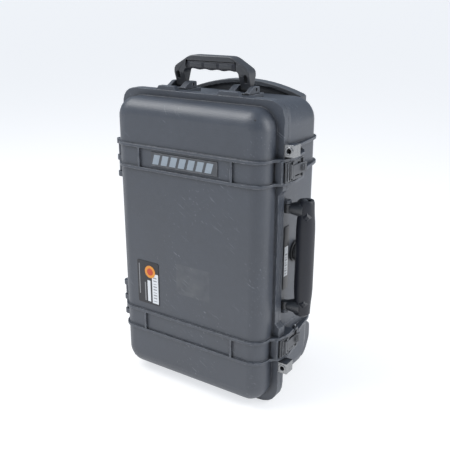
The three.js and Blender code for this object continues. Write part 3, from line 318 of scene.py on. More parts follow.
shell_plastic = moulded_plastic(
    "shell plastic",
    dark=(0.027, 0.034, 0.048),
    light=(0.042, 0.051, 0.069),
    rubbed=(0.26, 0.28, 0.32),
    dusty=(0.16, 0.15, 0.135),
    roughness=0.42,
    cell=650,
    relief=0.55,
    rub_share=1.0,
    dust_share=0.25,
)
shell_edge = 0.0007
finish_nodes(shell_plastic, shell_edge, "base_shell")
for side in ("right", "left"):
    finish_nodes(shell_plastic, shell_edge, "wheel_housing_" + side, "wheel_fender_" + side)

# A paler rectangle is left on the lid where an old sticker was peeled off.
lid_plastic = shell_plastic.copy()
lid_plastic.name = "lid plastic"
tree = lid_plastic.node_tree
lid_shader = tree.nodes["Principled BSDF"]
across = add_node(tree, "SeparateXYZ", {0: place_pattern(tree)}).outputs
peeled_middle = (0.0095, 0.215)
peeled_half = (0.036, 0.029)
torn_edge = 0.0012
edges = []
for axis, middle, half in zip((0, 2), peeled_middle, peeled_half):
    away = calculate(tree, "ABSOLUTE", calculate(tree, "SUBTRACT", across[axis], middle))
    edges.append(ramp(tree, calculate(tree, "SUBTRACT", half, away), 0.0, torn_edge))
peeled = calculate(tree, "MULTIPLY", edges[0], edges[1])
glue = add_node(tree, "TexNoise", {"Vector": place_pattern(tree), "Scale": 45, "Detail": 5}).outputs["Fac"]
peeled = calculate(tree, "MULTIPLY", peeled, ramp(tree, glue, 0.3, 1.0))
bare_colour = lid_shader.inputs["Base Color"].links[0].from_socket
glue_haze = (0.085, 0.092, 0.1, 1)
ghost = lay_over(tree, peeled, bare_colour, glue_haze)
tree.links.new(ghost, lid_shader.inputs["Base Color"])
finish_nodes(lid_plastic, shell_edge, "lid_shell")

# ---- Nameplate -----------------------------------------------------------------------------
# A thin moulded plate in the lid's upper band, with a raised border and plain slanted bars
# in a paler grey. It is welded on from behind.


def add_block(shape, low, high, rounding=0.0, slot=0):
    corners = bmesh.ops.create_cube(shape, size=1)["verts"]
    bmesh.ops.scale(shape, vec=Vector(high) - Vector(low), verts=corners)
    bmesh.ops.translate(shape, vec=(Vector(high) + Vector(low)) / 2, verts=corners)
    faces = {face for corner in corners for face in corner.link_faces}
    for face in faces:
        face.material_index = slot
    if rounding:
        edges = list({edge for corner in corners for edge in corner.link_edges})
        bmesh.ops.bevel(
            shape, geom=edges, offset=rounding, segments=2, affect="EDGES", profile=0.5, material=-1
        )
    return corners


def place_piece(name, shape, materials, body, slot, *stands_for, edge=0.0):
    mesh = bpy.data.meshes.new(name)
    bmesh.ops.recalc_face_normals(shape, faces=shape.faces)
    shape.to_mesh(mesh)
    shape.free()
    for material in materials:
        mesh.materials.append(material)
    piece = link_mesh(name, mesh)
    if edge:
        soften_edges(piece, edge)
    else:
        mesh.polygons.foreach_set("use_smooth", [True] * len(mesh.polygons))
        mesh.set_sharp_from_angle(angle=math.radians(40))
    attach(piece, body)
    if stands_for:
        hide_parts(*stands_for)
    return piece


plate_plastic = moulded_plastic(
    "plate plastic",
    dark=(0.03, 0.034, 0.042),
    light=(0.042, 0.047, 0.056),
    rubbed=(0.2, 0.21, 0.23),
    dusty=dry_dust,
    roughness=0.42,
    cell=1500,
    relief=0.12,
)
pale_print = moulded_plastic(
    "pale print",
    dark=(0.23, 0.275, 0.32),
    light=(0.3, 0.35, 0.4),
    rubbed=(0.1, 0.11, 0.13),
    dusty=(0.3, 0.25, 0.18),
    roughness=0.5,
    cell=1500,
    relief=0.1,
    rub_share=0.6,
)
plate_low, plate_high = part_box("nameplate")
border = 0.0016
bar_count = 7
bar_height = 0.017
bar_share = 0.72
bar_slant = 0.3
shape = bmesh.new()
add_block(shape, plate_low, plate_high, 0.0004)
front = [face for face in shape.faces if face.normal.y < -0.99]
bmesh.ops.inset_region(shape, faces=front, thickness=border, depth=0)
bmesh.ops.inset_region(shape, faces=front, thickness=0.0003, depth=-0.0004)
plate_middle = (plate_low + plate_high) / 2
bar_pitch = (plate_high.x - plate_low.x - 6 * border) / bar_count
for index in range(bar_count):
    left = plate_low.x + 3 * border + index * bar_pitch
    low = (left, plate_low.y - 0.0001, plate_middle.z - bar_height / 2)
    high = (left + bar_pitch * bar_share, plate_low.y + 0.0009, plate_middle.z + bar_height / 2)
    for corner in add_block(shape, low, high, slot=1):
        corner.co.x += (corner.co.z - plate_middle.z) * bar_slant
place_piece("nameplate_panel", shape, [plate_plastic, pale_print], "lid", "plate", "nameplate", edge=0.0003)

# ---- Labels --------------------------------------------------------------------------------
# Printed vinyl stickers: a tall dark one low on the lid with an amber disc and a white strip,
# and a small white one in the side recess. Both are scuffed and carry only plain bars.


def printed_vinyl(name, colour, worn, roughness=0.35):
    material, tree, shader = new_material(name)
    grained = place_effect(tree, grain, Cell=2500)
    marks = place_effect(tree, scratches, Spread=25)["Mask"]
    scuffed = calculate(tree, "MULTIPLY", ramp(tree, grained["Mottle"], 0.6, 1.0), 0.4)
    colour = lay_over(tree, calculate(tree, "MAXIMUM", marks, scuffed), (*colour, 1), (*worn, 1))
    tree.links.new(colour, shader.inputs["Base Color"])
    sheen = add_node(tree, "MapRange", {"Value": scuffed, "To Min": roughness, "To Max": roughness + 0.3})
    tree.links.new(sheen.outputs["Result"], shader.inputs["Roughness"])
    bump = add_node(tree, "Bump", {"Height": grained["Height"], "Strength": 0.05, "Distance": 0.0002})
    tree.links.new(bump.outputs["Normal"], shader.inputs["Normal"])
    return material


dark_vinyl = printed_vinyl("dark vinyl", (0.02, 0.02, 0.024), (0.08, 0.085, 0.095))
white_vinyl = printed_vinyl("white vinyl", (0.78, 0.8, 0.82), (0.5, 0.5, 0.5))
amber_print = printed_vinyl("amber print", (0.8, 0.3, 0.03), (0.45, 0.2, 0.05))
red_print = printed_vinyl("red print", (0.55, 0.06, 0.02), (0.3, 0.06, 0.04))
grey_print = printed_vinyl("grey print", (0.26, 0.26, 0.27), (0.4, 0.4, 0.4))

label_low, label_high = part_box("asset_label")
label_width = label_high.x - label_low.x
label_height = label_high.z - label_low.z
label_corner = 0.003
skin = 0.00012


# Left, right, bottom and top are shares of the label's width and height.
def on_label(left, right, bottom, top, layers):
    lift = layers * skin
    low_x, high_x = (label_low.x + share * label_width for share in (left, right))
    low_z, high_z = (label_low.z + share * label_height for share in (bottom, top))
    return (low_x, label_low.y - lift, low_z), (high_x, label_low.y + skin, high_z)


shape = bmesh.new()
add_block(shape, label_low, label_high)
upright = [edge for edge in shape.edges if abs((edge.verts[0].co - edge.verts[1].co).y) > 0.0002]
bmesh.ops.bevel(
    shape, geom=upright, offset=label_corner, segments=4, affect="EDGES", profile=0.5, material=-1
)
add_block(shape, *on_label(0.68, 0.97, 0.04, 0.74, 1), slot=1)
strip_bars = 9
strip_pitch = 0.068
for index in range(strip_bars):
    bottom = 0.09 + index * strip_pitch
    top = bottom + (0.024 if index % 3 else 0.012)
    add_block(shape, *on_label(0.74, 0.9, bottom, top, 2), slot=4)
add_block(shape, *on_label(0.07, 0.11, 0.2, 0.92, 1), slot=4)
add_block(shape, *on_label(0.33, 0.38, 0.06, 0.5, 1), slot=4)
add_block(shape, *on_label(0.46, 0.6, 0.06, 0.56, 1), slot=1)
disc_middle_x = label_low.x + 0.6 * label_width
disc_middle_z = label_low.z + 0.77 * label_height
for radius, layers, slot in ((0.0118, 2, 2), (0.0068, 3, 3)):
    disc = bmesh.ops.create_cone(
        shape, cap_ends=True, segments=40, radius1=radius, radius2=radius, depth=2 * skin
    )["verts"]
    lay_flat = Matrix.Rotation(math.pi / 2, 4, "X")
    centre = Vector((disc_middle_x, label_low.y - layers * skin, disc_middle_z))
    bmesh.ops.transform(shape, matrix=Matrix.Translation(centre) @ lay_flat, verts=disc)
    for face in {face for vert in disc for face in vert.link_faces}:
        face.material_index = slot
label_finishes = [dark_vinyl, white_vinyl, amber_print, red_print, grey_print]
place_piece("asset_sticker", shape, label_finishes, "lid", "label", "asset_label")

label_low, label_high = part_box("serial_label")
shape = bmesh.new()
# A thin dark plate lies behind the white sticker and reaches above and below it.
plate_below = 0.024
plate_above = 0.036
backing_low = (label_low.x, label_low.y - 0.002, label_low.z - plate_below)
backing_high = (label_low.x + 0.0003, label_high.y + 0.003, label_high.z + plate_above)
add_block(shape, backing_low, backing_high, 0.0001, slot=2)
add_block(shape, label_low, label_high)
serial_bars = 8
serial_pitch = 0.0049
serial_margin = 0.0022
for index in range(serial_bars):
    bottom = label_low.z + 0.004 + index * serial_pitch
    top = bottom + (0.0022 if index % 2 else 0.0012)
    low = (label_high.x - skin, label_low.y + serial_margin, bottom)
    high = (label_high.x + skin, label_high.y - serial_margin, top)
    add_block(shape, low, high, slot=1)
place_piece("serial_sticker", shape, [white_vinyl, grey_print, dark_vinyl], "base", "label", "serial_label")

# ---- Gasket --------------------------------------------------------------------------------
# A round rubber cord, joined into a ring and pressed into the groove round the lid's rim.
# It seals the closed case against the base's rim.


def rubber(name, colour, paler, roughness, cell=1600):
    material, tree, shader = new_material(name)
    grained = place_effect(tree, grain, Cell=cell)
    settled = calculate(tree, "MULTIPLY", place_effect(tree, dust)["Mask"], 0.35)
    edges = calculate(tree, "MULTIPLY", place_effect(tree, rub, Reach=0.0015)["Mask"], 0.45)
    colour = lay_over(tree, grained["Mottle"], (*colour, 1), (*paler, 1))
    colour = lay_over(tree, edges, colour, (0.12, 0.125, 0.135, 1))
    colour = lay_over(tree, settled, colour, (0.14, 0.13, 0.115, 1))
    tree.links.new(colour, shader.inputs["Base Color"])
    spread = {"Value": grained["Mottle"], "To Min": roughness, "To Max": roughness + 0.12}
    sheen = add_node(tree, "MapRange", spread)
    tree.links.new(sheen.outputs["Result"], shader.inputs["Roughness"])
    bump = add_node(tree, "Bump", {"Height": grained["Height"], "Strength": 0.18, "Distance": 0.0003})
    tree.links.new(bump.outputs["Normal"], shader.inputs["Normal"])
    return material


seal_rubber = rubber("seal rubber", (0.02, 0.02, 0.022), (0.035, 0.035, 0.038), 0.45)
seal_low, seal_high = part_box("lid_gasket")
seal_radius = (seal_high.y - seal_low.y) / 2
seal_corner = 0.0257
seal_inset = 0.002
turn_centres = (
    (seal_high.x - seal_inset - seal_corner, seal_low.z + seal_inset + seal_corner),
    (seal_high.x - seal_inset - seal_corner, seal_high.z - seal_inset - seal_corner),
    (seal_low.x + seal_inset + seal_corner, seal_high.z - seal_inset - seal_corner),
    (seal_low.x + seal_inset + seal_corner, seal_low.z + seal_inset + seal_corner),
)
shape = bmesh.new()
section = bmesh.ops.create_circle(shape, segments=12, radius=seal_radius)["verts"]
start = Vector((turn_centres[0][0], (seal_low.y + seal_high.y) / 2, seal_low.z + seal_inset))
bmesh.ops.transform(
    shape, matrix=Matrix.Translation(start) @ Matrix.Rotation(math.pi / 2, 4, "Y"), verts=section
)
ends = list(shape.edges)
for index, (x, z) in enumerate(turn_centres):
    swept = bmesh.ops.spin(
        shape, geom=ends, cent=(x, 0, z), axis=(0, -1, 0), angle=math.pi / 2, steps=12
    )["geom_last"]
    ends = [item for item in swept if isinstance(item, bmesh.types.BMEdge)]
    ahead = turn_centres[(index + 1) % 4]
    run = bmesh.ops.extrude_edge_only(shape, edges=ends)["geom"]
    moved = [item for item in run if isinstance(item, bmesh.types.BMVert)]
    bmesh.ops.translate(shape, vec=(ahead[0] - x, 0, ahead[1] - z), verts=moved)
    ends = [item for item in run if isinstance(item, bmesh.types.BMEdge)]
    ends = [edge for edge in ends if edge.verts[0] in moved and edge.verts[1] in moved]
bmesh.ops.remove_doubles(shape, verts=shape.verts, dist=0.00002)
place_piece("lid_seal", shape, [seal_rubber], "lid", "rubber", "lid_gasket")

# ---- Foam pads -----------------------------------------------------------------------------
# Open-cell foam, cut to size and glued in: a crested pad in the lid and a flat one in the
# base. Their rims droop a little where they were cut.


def foam(name, colour, pore_shade):
    material, tree, shader = new_material(name)
    spot = place_pattern(tree)
    cells = add_node(tree, "TexVoronoi", {"Vector": spot, "Scale": 700}).outputs["Distance"]
    pits = add_node(tree, "TexNoise", {"Vector": spot, "Scale": 260, "Detail": 4}).outputs["Fac"]
    # Painted shade: each cell is darker towards its hollow, where the bump sinks.
    colour = lay_over(tree, ramp(tree, cells, 0.2, 0.8), (*pore_shade, 1), (*colour, 1))
    settled = calculate(tree, "MULTIPLY", place_effect(tree, dust)["Mask"], 0.5)
    colour = lay_over(tree, settled, colour, (0.16, 0.15, 0.14, 1))
    tree.links.new(colour, shader.inputs["Base Color"])
    dull = add_node(tree, "MapRange", {"Value": pits, "To Min": 0.85, "To Max": 1.0})
    tree.links.new(dull.outputs["Result"], shader.inputs["Roughness"])
    height = calculate(tree, "ADD", cells, pits)
    bump = add_node(tree, "Bump", {"Height": height, "Strength": 0.7, "Distance": 0.0006})
    tree.links.new(bump.outputs["Normal"], shader.inputs["Normal"])
    return material


grey_foam = foam("grey foam", (0.09, 0.092, 0.098), (0.035, 0.036, 0.04))


crest_spacing = 0.0095
cut_rim = 0.012
rim_pull = 0.0012
columns = 44
rows = 80


def foam_pad(name, node, body, inward, crest):
    low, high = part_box(node)
    shape = bmesh.new()
    add_block(shape, low, high)
    for axis, count in ((0, columns), (2, rows)):
        along = [e for e in shape.edges if abs((e.verts[0].co - e.verts[1].co)[axis]) > 0.02]
        bmesh.ops.subdivide_edges(shape, edges=along, cuts=count, use_grid_fill=True)
    face_y = high.y if inward > 0 else low.y
    depth = high.y - low.y
    for vert in shape.verts:
        nearest = min(vert.co.x - low.x, high.x - vert.co.x, vert.co.z - low.z, high.z - vert.co.z)
        droop = max(0.0, 1 - nearest / cut_rim) ** 2
        if abs(vert.co.y - face_y) < 0.0001:
            waves = math.sin(vert.co.x / crest_spacing) * math.sin(vert.co.z / crest_spacing)
            lower = crest * (0.5 - 0.5 * waves) + depth * 0.35 * droop
            vert.co.y -= inward * lower
        else:
            pull = rim_pull * droop
            vert.co.x += pull if vert.co.x < (low.x + high.x) / 2 else -pull
            vert.co.z += pull if vert.co.z < (low.z + high.z) / 2 else -pull
    pad = place_piece(name, shape, [grey_foam], body, "foam", node)
    round_off = pad.modifiers.new("round off", "SUBSURF")
    round_off.levels = 1
    round_off.render_levels = 1


foam_pad("lid_foam", "lid_foam_pad", "lid", 1, 0.008)
foam_pad("base_foam", "base_foam_pad", "base", -1, 0.0012)

# ---- Hinges --------------------------------------------------------------------------------
# The knuckles are moulded in both shells and stand in turn along one line. A stainless pin
# is pressed through each set.


def bare_metal(name, dark, light, roughness, lay=(260, 260, 12)):
    material, tree, shader = new_material(name)
    spot = place_pattern(tree, stretch=lay)
    lines = add_node(tree, "TexNoise", {"Vector": spot, "Scale": 4, "Detail": 3}).outputs["Fac"]
    grained = place_effect(tree, grain, Cell=2200)
    settled = calculate(tree, "MULTIPLY", place_effect(tree, dust, Reach=0.004)["Mask"], 0.5)
    colour = lay_over(tree, ramp(tree, lines, 0.35, 0.65), (*dark, 1), (*light, 1))
    colour = lay_over(tree, settled, colour, (0.12, 0.11, 0.1, 1))
    tree.links.new(colour, shader.inputs["Base Color"])
    shader.inputs["Metallic"].default_value = 1
    streaked = calculate(tree, "MULTIPLY", lines, grained["Mottle"])
    sheen = add_node(tree, "MapRange", {"Value": streaked, "To Min": roughness, "To Max": roughness + 0.18})
    tree.links.new(sheen.outputs["Result"], shader.inputs["Roughness"])
    bump = add_node(tree, "Bump", {"Height": lines, "Strength": 0.08, "Distance": 0.0002})
    tree.links.new(bump.outputs["Normal"], shader.inputs["Normal"])
    return material


pin_steel = bare_metal("pin steel", (0.42, 0.43, 0.45), (0.62, 0.63, 0.65), 0.25)
for place in ("upper", "lower"):
    finish_nodes(pin_steel, 0.0004, "hinge_pin_" + place)

# ---- Latches -------------------------------------------------------------------------------
# Moulded bodies that hook over the lid's keepers, each with an outer release lever on a
# steel pin. The lever's tab is polished by fingers and carries low grip bars.

latch_plastic = moulded_plastic(
    "latch plastic",
    dark=(0.026, 0.03, 0.038),
    light=(0.04, 0.044, 0.054),
    rubbed=(0.2, 0.22, 0.25),
    dusty=dry_dust,
    roughness=0.4,
    cell=1500,
    relief=0.12,
    rub_share=1.0,
)
grip_bars = 3
grip_pitch = 0.0035
# Each step of the cap: where it starts and ends behind the front, its bottom and top from the
# middle, and how far it stands proud.
cap_steps = (
    (0.0, 0.0035, -0.0145, 0.0145, 0.0012),
    (0.0048, 0.0068, -0.0135, 0.0135, 0.0022),
    (0.0068, 0.0125, -0.0115, 0.0115, 0.003),
    (0.0125, 0.019, 0.0102, 0.0148, 0.0024),
    (0.0125, 0.019, -0.0148, -0.0102, 0.0024),
    (0.048, 0.0535, -0.0148, 0.0148, 0.0018),
)
for place in ("upper", "lower"):
    finish_nodes(latch_plastic, 0.0006, "latch_body_" + place, "latch_lever_" + place)
    finish_nodes(pin_steel, 0.0003, "latch_pin_" + place)
    lever_low, lever_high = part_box("latch_lever_" + place)
    middle_z = (lever_low.z + lever_high.z) / 2
    shape = bmesh.new()
    for index in range(grip_bars):
        y = lever_high.y - 0.008 - index * grip_pitch
        low = (lever_high.x - 0.0006, y - 0.0007, middle_z - 0.0055)
        high = (lever_high.x + 0.0006, y + 0.0007, middle_z + 0.0055)
        add_block(shape, low, high, 0.0004)
    place_piece("lever_grip_" + place, shape, [latch_plastic], "lever_" + place, "shell")
    # A stepped hook cap with two lugs stands proud of each latch body.
    body_low, body_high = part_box("latch_body_" + place)
    shape = bmesh.new()
    front_y = body_low.y + 0.0035
    for begins, ends, bottom, top, proud in cap_steps:
        low = (body_high.x - 0.0012, front_y + begins, middle_z + bottom)
        high = (body_high.x + proud, front_y + ends, middle_z + top)
        add_block(shape, low, high, 0.0007)
    place_piece("latch_cap_" + place, shape, [latch_plastic], "latch_" + place, "shell")

# ---- Padlock guards ------------------------------------------------------------------------
# Pressed stainless plates over the moulded tabs, on lid and base, with a raised ring round
# the padlock hole.


def turned_piece(shape, profile, centre, axis, steps=40):
    ring = [shape.verts.new((radius, 0, along)) for radius, along in profile]
    loop = zip(ring, ring[1:] + ring[:1])
    edges = [shape.edges.new(pair) for pair in loop if pair[0].co.x + pair[1].co.x > 0]
    before = set(shape.verts) - set(ring)
    bmesh.ops.spin(
        shape,
        geom=ring + edges,
        cent=(0, 0, 0),
        axis=(0, 0, 1),
        angle=2 * math.pi,
        steps=steps,
        use_merge=True,
    )
    made = [vert for vert in shape.verts if vert not in before]
    bmesh.ops.remove_doubles(shape, verts=made, dist=0.000001)
    made = [vert for vert in shape.verts if vert not in before]
    turn = Vector((0, 0, 1)).rotation_difference(Vector(axis)).to_matrix().to_4x4()
    bmesh.ops.transform(shape, matrix=Matrix.Translation(centre) @ turn, verts=made)
    return made


guard_steel = bare_metal("guard steel", (0.2, 0.205, 0.21), (0.42, 0.425, 0.43), 0.24, (30, 500, 500))
ring_inner = 0.0041
ring_outer = 0.0072
ring_profile = (
    (ring_inner, 0.0),
    (ring_inner, 0.0005),
    (ring_inner + 0.0005, 0.001),
    (ring_outer - 0.0008, 0.001),
    (ring_outer, 0.0003),
    (ring_outer, 0.0),
)
hole_inset = 0.0085
for place in ("upper", "lower"):
    for half, body, facing in (("lid", "lid", -1), ("base", "base", 1)):
        guard = "padlock_guard_" + half + "_" + place
        finish_nodes(guard_steel, 0.0005, guard)
        low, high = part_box(guard)
        centre = (high.x - hole_inset, low.y if facing < 0 else high.y, (low.z + high.z) / 2)
        shape = bmesh.new()
        turned_piece(shape, ring_profile, centre, (0, facing, 0))
        place_piece("padlock_ring_" + half + "_" + place, shape, [guard_steel], body, "steel")

# ---- Top handle ----------------------------------------------------------------------------
# A moulded frame on two U brackets, with a soft grip snapped round its bridge. The grip has three finger
# pads set into each face, standing just proud, and a waved underside.

frame_plastic = moulded_plastic(
    "frame plastic",
    dark=(0.01, 0.012, 0.017),
    light=(0.017, 0.02, 0.027),
    rubbed=(0.14, 0.15, 0.17),
    dusty=fine_dust,
    roughness=0.42,
    cell=1500,
    relief=0.14,
)
grip_rubber = rubber("grip rubber", (0.009, 0.01, 0.016), (0.015, 0.017, 0.025), 0.36)
finish_nodes(frame_plastic, 0.0014, "top_handle_frame")
for side in ("right", "left"):
    finish_nodes(shell_plastic, 0.0006, "top_handle_bracket_" + side)
    finish_nodes(pin_steel, 0.0004, "top_handle_pin_" + side)

grip_low, grip_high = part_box("top_handle_grip")
grip_middle = (grip_low + grip_high) / 2
shape = bmesh.new()
add_block(shape, grip_low, grip_high, 0.0025)
slices = 25
for cut in range(1, slices):
    cut_x = grip_low.x + (grip_high.x - grip_low.x) * cut / slices
    whole = list(shape.verts) + list(shape.edges) + list(shape.faces)
    bmesh.ops.bisect_plane(shape, geom=whole, plane_co=(cut_x, 0, 0), plane_no=(1, 0, 0))
finger_pitch = (grip_high.x - grip_low.x) / 4
wave_depth = 0.0016
for vert in shape.verts:
    if vert.co.z < grip_middle.z:
        wave = 0.5 - 0.5 * math.cos((vert.co.x - grip_low.x) / finger_pitch * 2 * math.pi)
        vert.co.z += wave_depth * wave
pad_half = 0.0125
pad_pitch = 0.03
for facing in (-1, 1):
    for index in (-1, 0, 1):
        face_y = grip_low.y if facing < 0 else grip_high.y
        x = grip_middle.x + index * pad_pitch
        low = (x - pad_half, face_y - 0.0007, grip_middle.z - 0.0032)
        high = (x + pad_half, face_y + 0.0007, grip_middle.z + 0.0042)
        add_block(shape, low, high, 0.0006, slot=1)
place_piece(
    "top_grip_sleeve", shape, [grip_rubber, frame_plastic], "top_handle", "grip", "top_handle_grip"
)

# ---- Side handle ---------------------------------------------------------------------------
# A steel-cored arm on two pins carries a thick moulded rubber sleeve, fuller in the middle,
# with a slot in its top end and a raised diamond near each end.

pivot_low, pivot_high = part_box("side_handle_pin_upper")
pivot_x = (pivot_low.x + pivot_high.x) / 2
pivot_y = (pivot_low.y + pivot_high.y) / 2
bar_low, bar_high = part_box("side_handle_grip")
bar_x = (bar_low.x + bar_high.x) / 2
bar_y = (bar_low.y + bar_high.y) / 2
frame_low, frame_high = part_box("side_handle_frame")
reach = math.hypot(bar_x - pivot_x, bar_y - pivot_y)
swing = math.atan2(bar_y - pivot_y, bar_x - pivot_x)
eye_radius = 0.0062
arm_height = 0.0155
hump_radius = 0.0125
core_radius = 0.0095
shape = bmesh.new()
for outer, inner in (
    (frame_high.z, frame_high.z - arm_height),
    (frame_low.z, frame_low.z + arm_height),
):
    arm = bmesh.ops.create_circle(shape, cap_ends=True, segments=28, radius=eye_radius)["verts"]
    bmesh.ops.rotate(shape, verts=arm, cent=(0, 0, 0), matrix=Matrix.Rotation(swing, 3, "Z"))
    bmesh.ops.translate(shape, verts=arm, vec=(pivot_x, pivot_y, outer))
    for vert in arm:
        along = (vert.co.x - pivot_x) * math.cos(swing) + (vert.co.y - pivot_y) * math.sin(swing)
        if along > 0.0001:
            vert.co.x += reach * math.cos(swing)
            vert.co.y += reach * math.sin(swing)
    sole = [face for face in shape.faces if abs(face.calc_center_median().z - outer) < 0.0001]
    grown = bmesh.ops.extrude_face_region(shape, geom=sole)["geom"]
    moved = [item for item in grown if isinstance(item, bmesh.types.BMVert)]
    bmesh.ops.translate(shape, vec=(0, 0, inner - outer), verts=moved)
    hump = bmesh.ops.create_uvsphere(shape, u_segments=28, v_segments=14, radius=hump_radius)["verts"]
    bmesh.ops.scale(shape, vec=(1.0, 0.92, 1.15), verts=hump)
    away = 1 if outer > inner else -1
    at = (bar_x - 0.006 * math.cos(swing), bar_y - 0.006 * math.sin(swing), outer - away * 0.004)
    bmesh.ops.translate(shape, vec=at, verts=hump)
    web = bmesh.ops.create_cone(
        shape, cap_ends=True, segments=28, radius1=0.0085, radius2=0.0145, depth=reach * 0.75
    )["verts"]
    lean = Matrix.Rotation(swing, 4, "Z") @ Matrix.Rotation(math.pi / 2, 4, "Y")
    bmesh.ops.transform(shape, matrix=lean, verts=web)
    at = (pivot_x + 0.46 * (bar_x - pivot_x), pivot_y + 0.46 * (bar_y - pivot_y), (outer + inner) / 2)
    bmesh.ops.translate(shape, vec=at, verts=web)
core = bmesh.ops.create_cone(
    shape,
    cap_ends=True,
    segments=28,
    radius1=core_radius,
    radius2=core_radius,
    depth=frame_high.z - frame_low.z,
)["verts"]
bmesh.ops.translate(shape, vec=(bar_x, bar_y, (frame_low.z + frame_high.z) / 2), verts=core)
place_piece(
    "side_handle_arms", shape, [frame_plastic], "side_handle", "handle", "side_handle_frame", edge=0.0012
)
for place in ("upper", "lower"):
    finish_nodes(pin_steel, 0.0004, "side_handle_pin_" + place)

sleeve_low, sleeve_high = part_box("side_handle_grip")
sleeve_middle = (sleeve_low + sleeve_high) / 2
sleeve_radius = (sleeve_high.x - sleeve_low.x) / 2
sleeve_half = (sleeve_high.z - sleeve_low.z) / 2
end_radius = sleeve_radius * 0.82
sleeve_profile = (
    (0.0, -sleeve_half),
    (end_radius * 0.72, -sleeve_half),
    (end_radius, -sleeve_half + 0.004),
    (end_radius * 1.04, -sleeve_half + 0.017),
    (end_radius * 1.08, -sleeve_half + 0.026),
    (sleeve_radius * 0.95, -sleeve_half + 0.036),
    (sleeve_radius * 0.99, -sleeve_half + 0.05),
    (sleeve_radius, 0.0),
    (sleeve_radius * 0.99, sleeve_half - 0.05),
    (sleeve_radius * 0.95, sleeve_half - 0.036),
    (end_radius * 1.08, sleeve_half - 0.026),
    (end_radius * 1.04, sleeve_half - 0.017),
    (end_radius, sleeve_half - 0.004),
    (end_radius * 0.9, sleeve_half),
    (0.0, sleeve_half),
)
shape = bmesh.new()
turned_piece(shape, sleeve_profile, sleeve_middle, (0, 0, 1), 48)
# The slot in the top end: the cap's faces are swapped for a lip round a sunk pocket.
slot_half_length = 0.0075
slot_half_width = 0.0042
slot_depth = 0.009
top = [face for face in shape.faces if face.calc_center_median().z > sleeve_high.z - 0.0001]
cap = bmesh.ops.dissolve_faces(shape, faces=top)["region"]
bmesh.ops.inset_region(shape, faces=cap, thickness=0.0022, depth=0)
for vert in {vert for face in cap for vert in face.verts}:
    x = vert.co.x - sleeve_middle.x
    y = vert.co.y - sleeve_middle.y
    widest = max(abs(x) / slot_half_length, abs(y) / slot_half_width)
    vert.co.x = sleeve_middle.x + x / widest
    vert.co.y = sleeve_middle.y + y / widest
pocket = bmesh.ops.extrude_face_region(shape, geom=cap)["geom"]
sunk = [item for item in pocket if isinstance(item, bmesh.types.BMVert)]
bmesh.ops.translate(shape, vec=(0, 0, -slot_depth), verts=sunk)
bmesh.ops.delete(shape, geom=cap, context="FACES_ONLY")
for end in (-1, 1):
    for facing in (math.radians(-58), math.radians(122)):
        diamond = bmesh.ops.create_cone(
            shape, cap_ends=True, segments=4, radius1=0.0095, radius2=0.004, depth=0.0036
        )["verts"]
        bmesh.ops.scale(shape, vec=(1.0, 0.85, 1.0), verts=diamond)
        out = end_radius * 1.08 + 0.0004
        centre = sleeve_middle + Vector((0, 0, end * (sleeve_half - 0.026)))
        turn = Matrix.Rotation(facing, 4, "Z") @ Matrix.Translation((out, 0, 0))
        turn = turn @ Matrix.Rotation(math.pi / 2, 4, "Y")
        bmesh.ops.transform(shape, matrix=Matrix.Translation(centre) @ turn, verts=diamond)
place_piece("side_grip_sleeve", shape, [grip_rubber], "side_handle", "grip", "side_handle_grip")

# ---- Pressure valve ------------------------------------------------------------------------
# A turned resin body screwed into the recess wall, and a knob with a ribbed rim, a finger
# bar across its face and a small red mark.

valve_plastic = moulded_plastic(
    "valve plastic",
    dark=(0.01, 0.011, 0.014),
    light=(0.018, 0.02, 0.024),
    rubbed=(0.12, 0.13, 0.14),
    dusty=fine_dust,
    roughness=0.38,
    cell=1800,
    relief=0.1,
)
finish_nodes(valve_plastic, 0.0005, "pressure_valve_body")
knob_low, knob_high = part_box("pressure_valve_knob")
knob_middle = (knob_low + knob_high) / 2
knob_radius = (knob_high.z - knob_low.z) / 2 - 0.0009
knob_depth = knob_high.x - knob_low.x
shape = bmesh.new()
bmesh.ops.create_cone(
    shape,
    cap_ends=True,
    segments=48,
    radius1=knob_radius,
    radius2=knob_radius * 0.96,
    depth=knob_depth * 0.7,
)
sides = [face for face in shape.faces if abs(face.normal.z) < 0.5]
sides.sort(key=lambda face: math.atan2(face.calc_center_median().y, face.calc_center_median().x))
bmesh.ops.inset_individual(shape, faces=sides[::2], thickness=0.0003, depth=0.0008)
face_up = [face for face in shape.faces if face.normal.z > 0.9 and len(face.verts) > 20]
bmesh.ops.inset_region(shape, faces=face_up, thickness=0.0025, depth=0)
bmesh.ops.inset_region(shape, faces=face_up, thickness=0.0006, depth=-0.0012)
lift = knob_depth * 0.35
bar_half = Vector((0.0022, knob_radius * 0.72, 0.0014))
bar_middle = Vector((0, 0, lift))
add_block(shape, bar_middle - bar_half, bar_middle + bar_half, 0.0006)
mark_low = (-0.0007, knob_radius * 0.5, lift + 0.0013)
mark_high = (0.0007, knob_radius * 0.68, lift + 0.0016)
add_block(shape, mark_low, mark_high, slot=1)
stand_up = Matrix.Translation(knob_middle) @ Matrix.Rotation(math.pi / 2, 4, "Y")
bmesh.ops.transform(shape, matrix=stand_up, verts=shape.verts)
place_piece(
    "valve_knob_ribbed", shape, [valve_plastic, red_print], "valve_knob", "handle", "pressure_valve_knob"
)
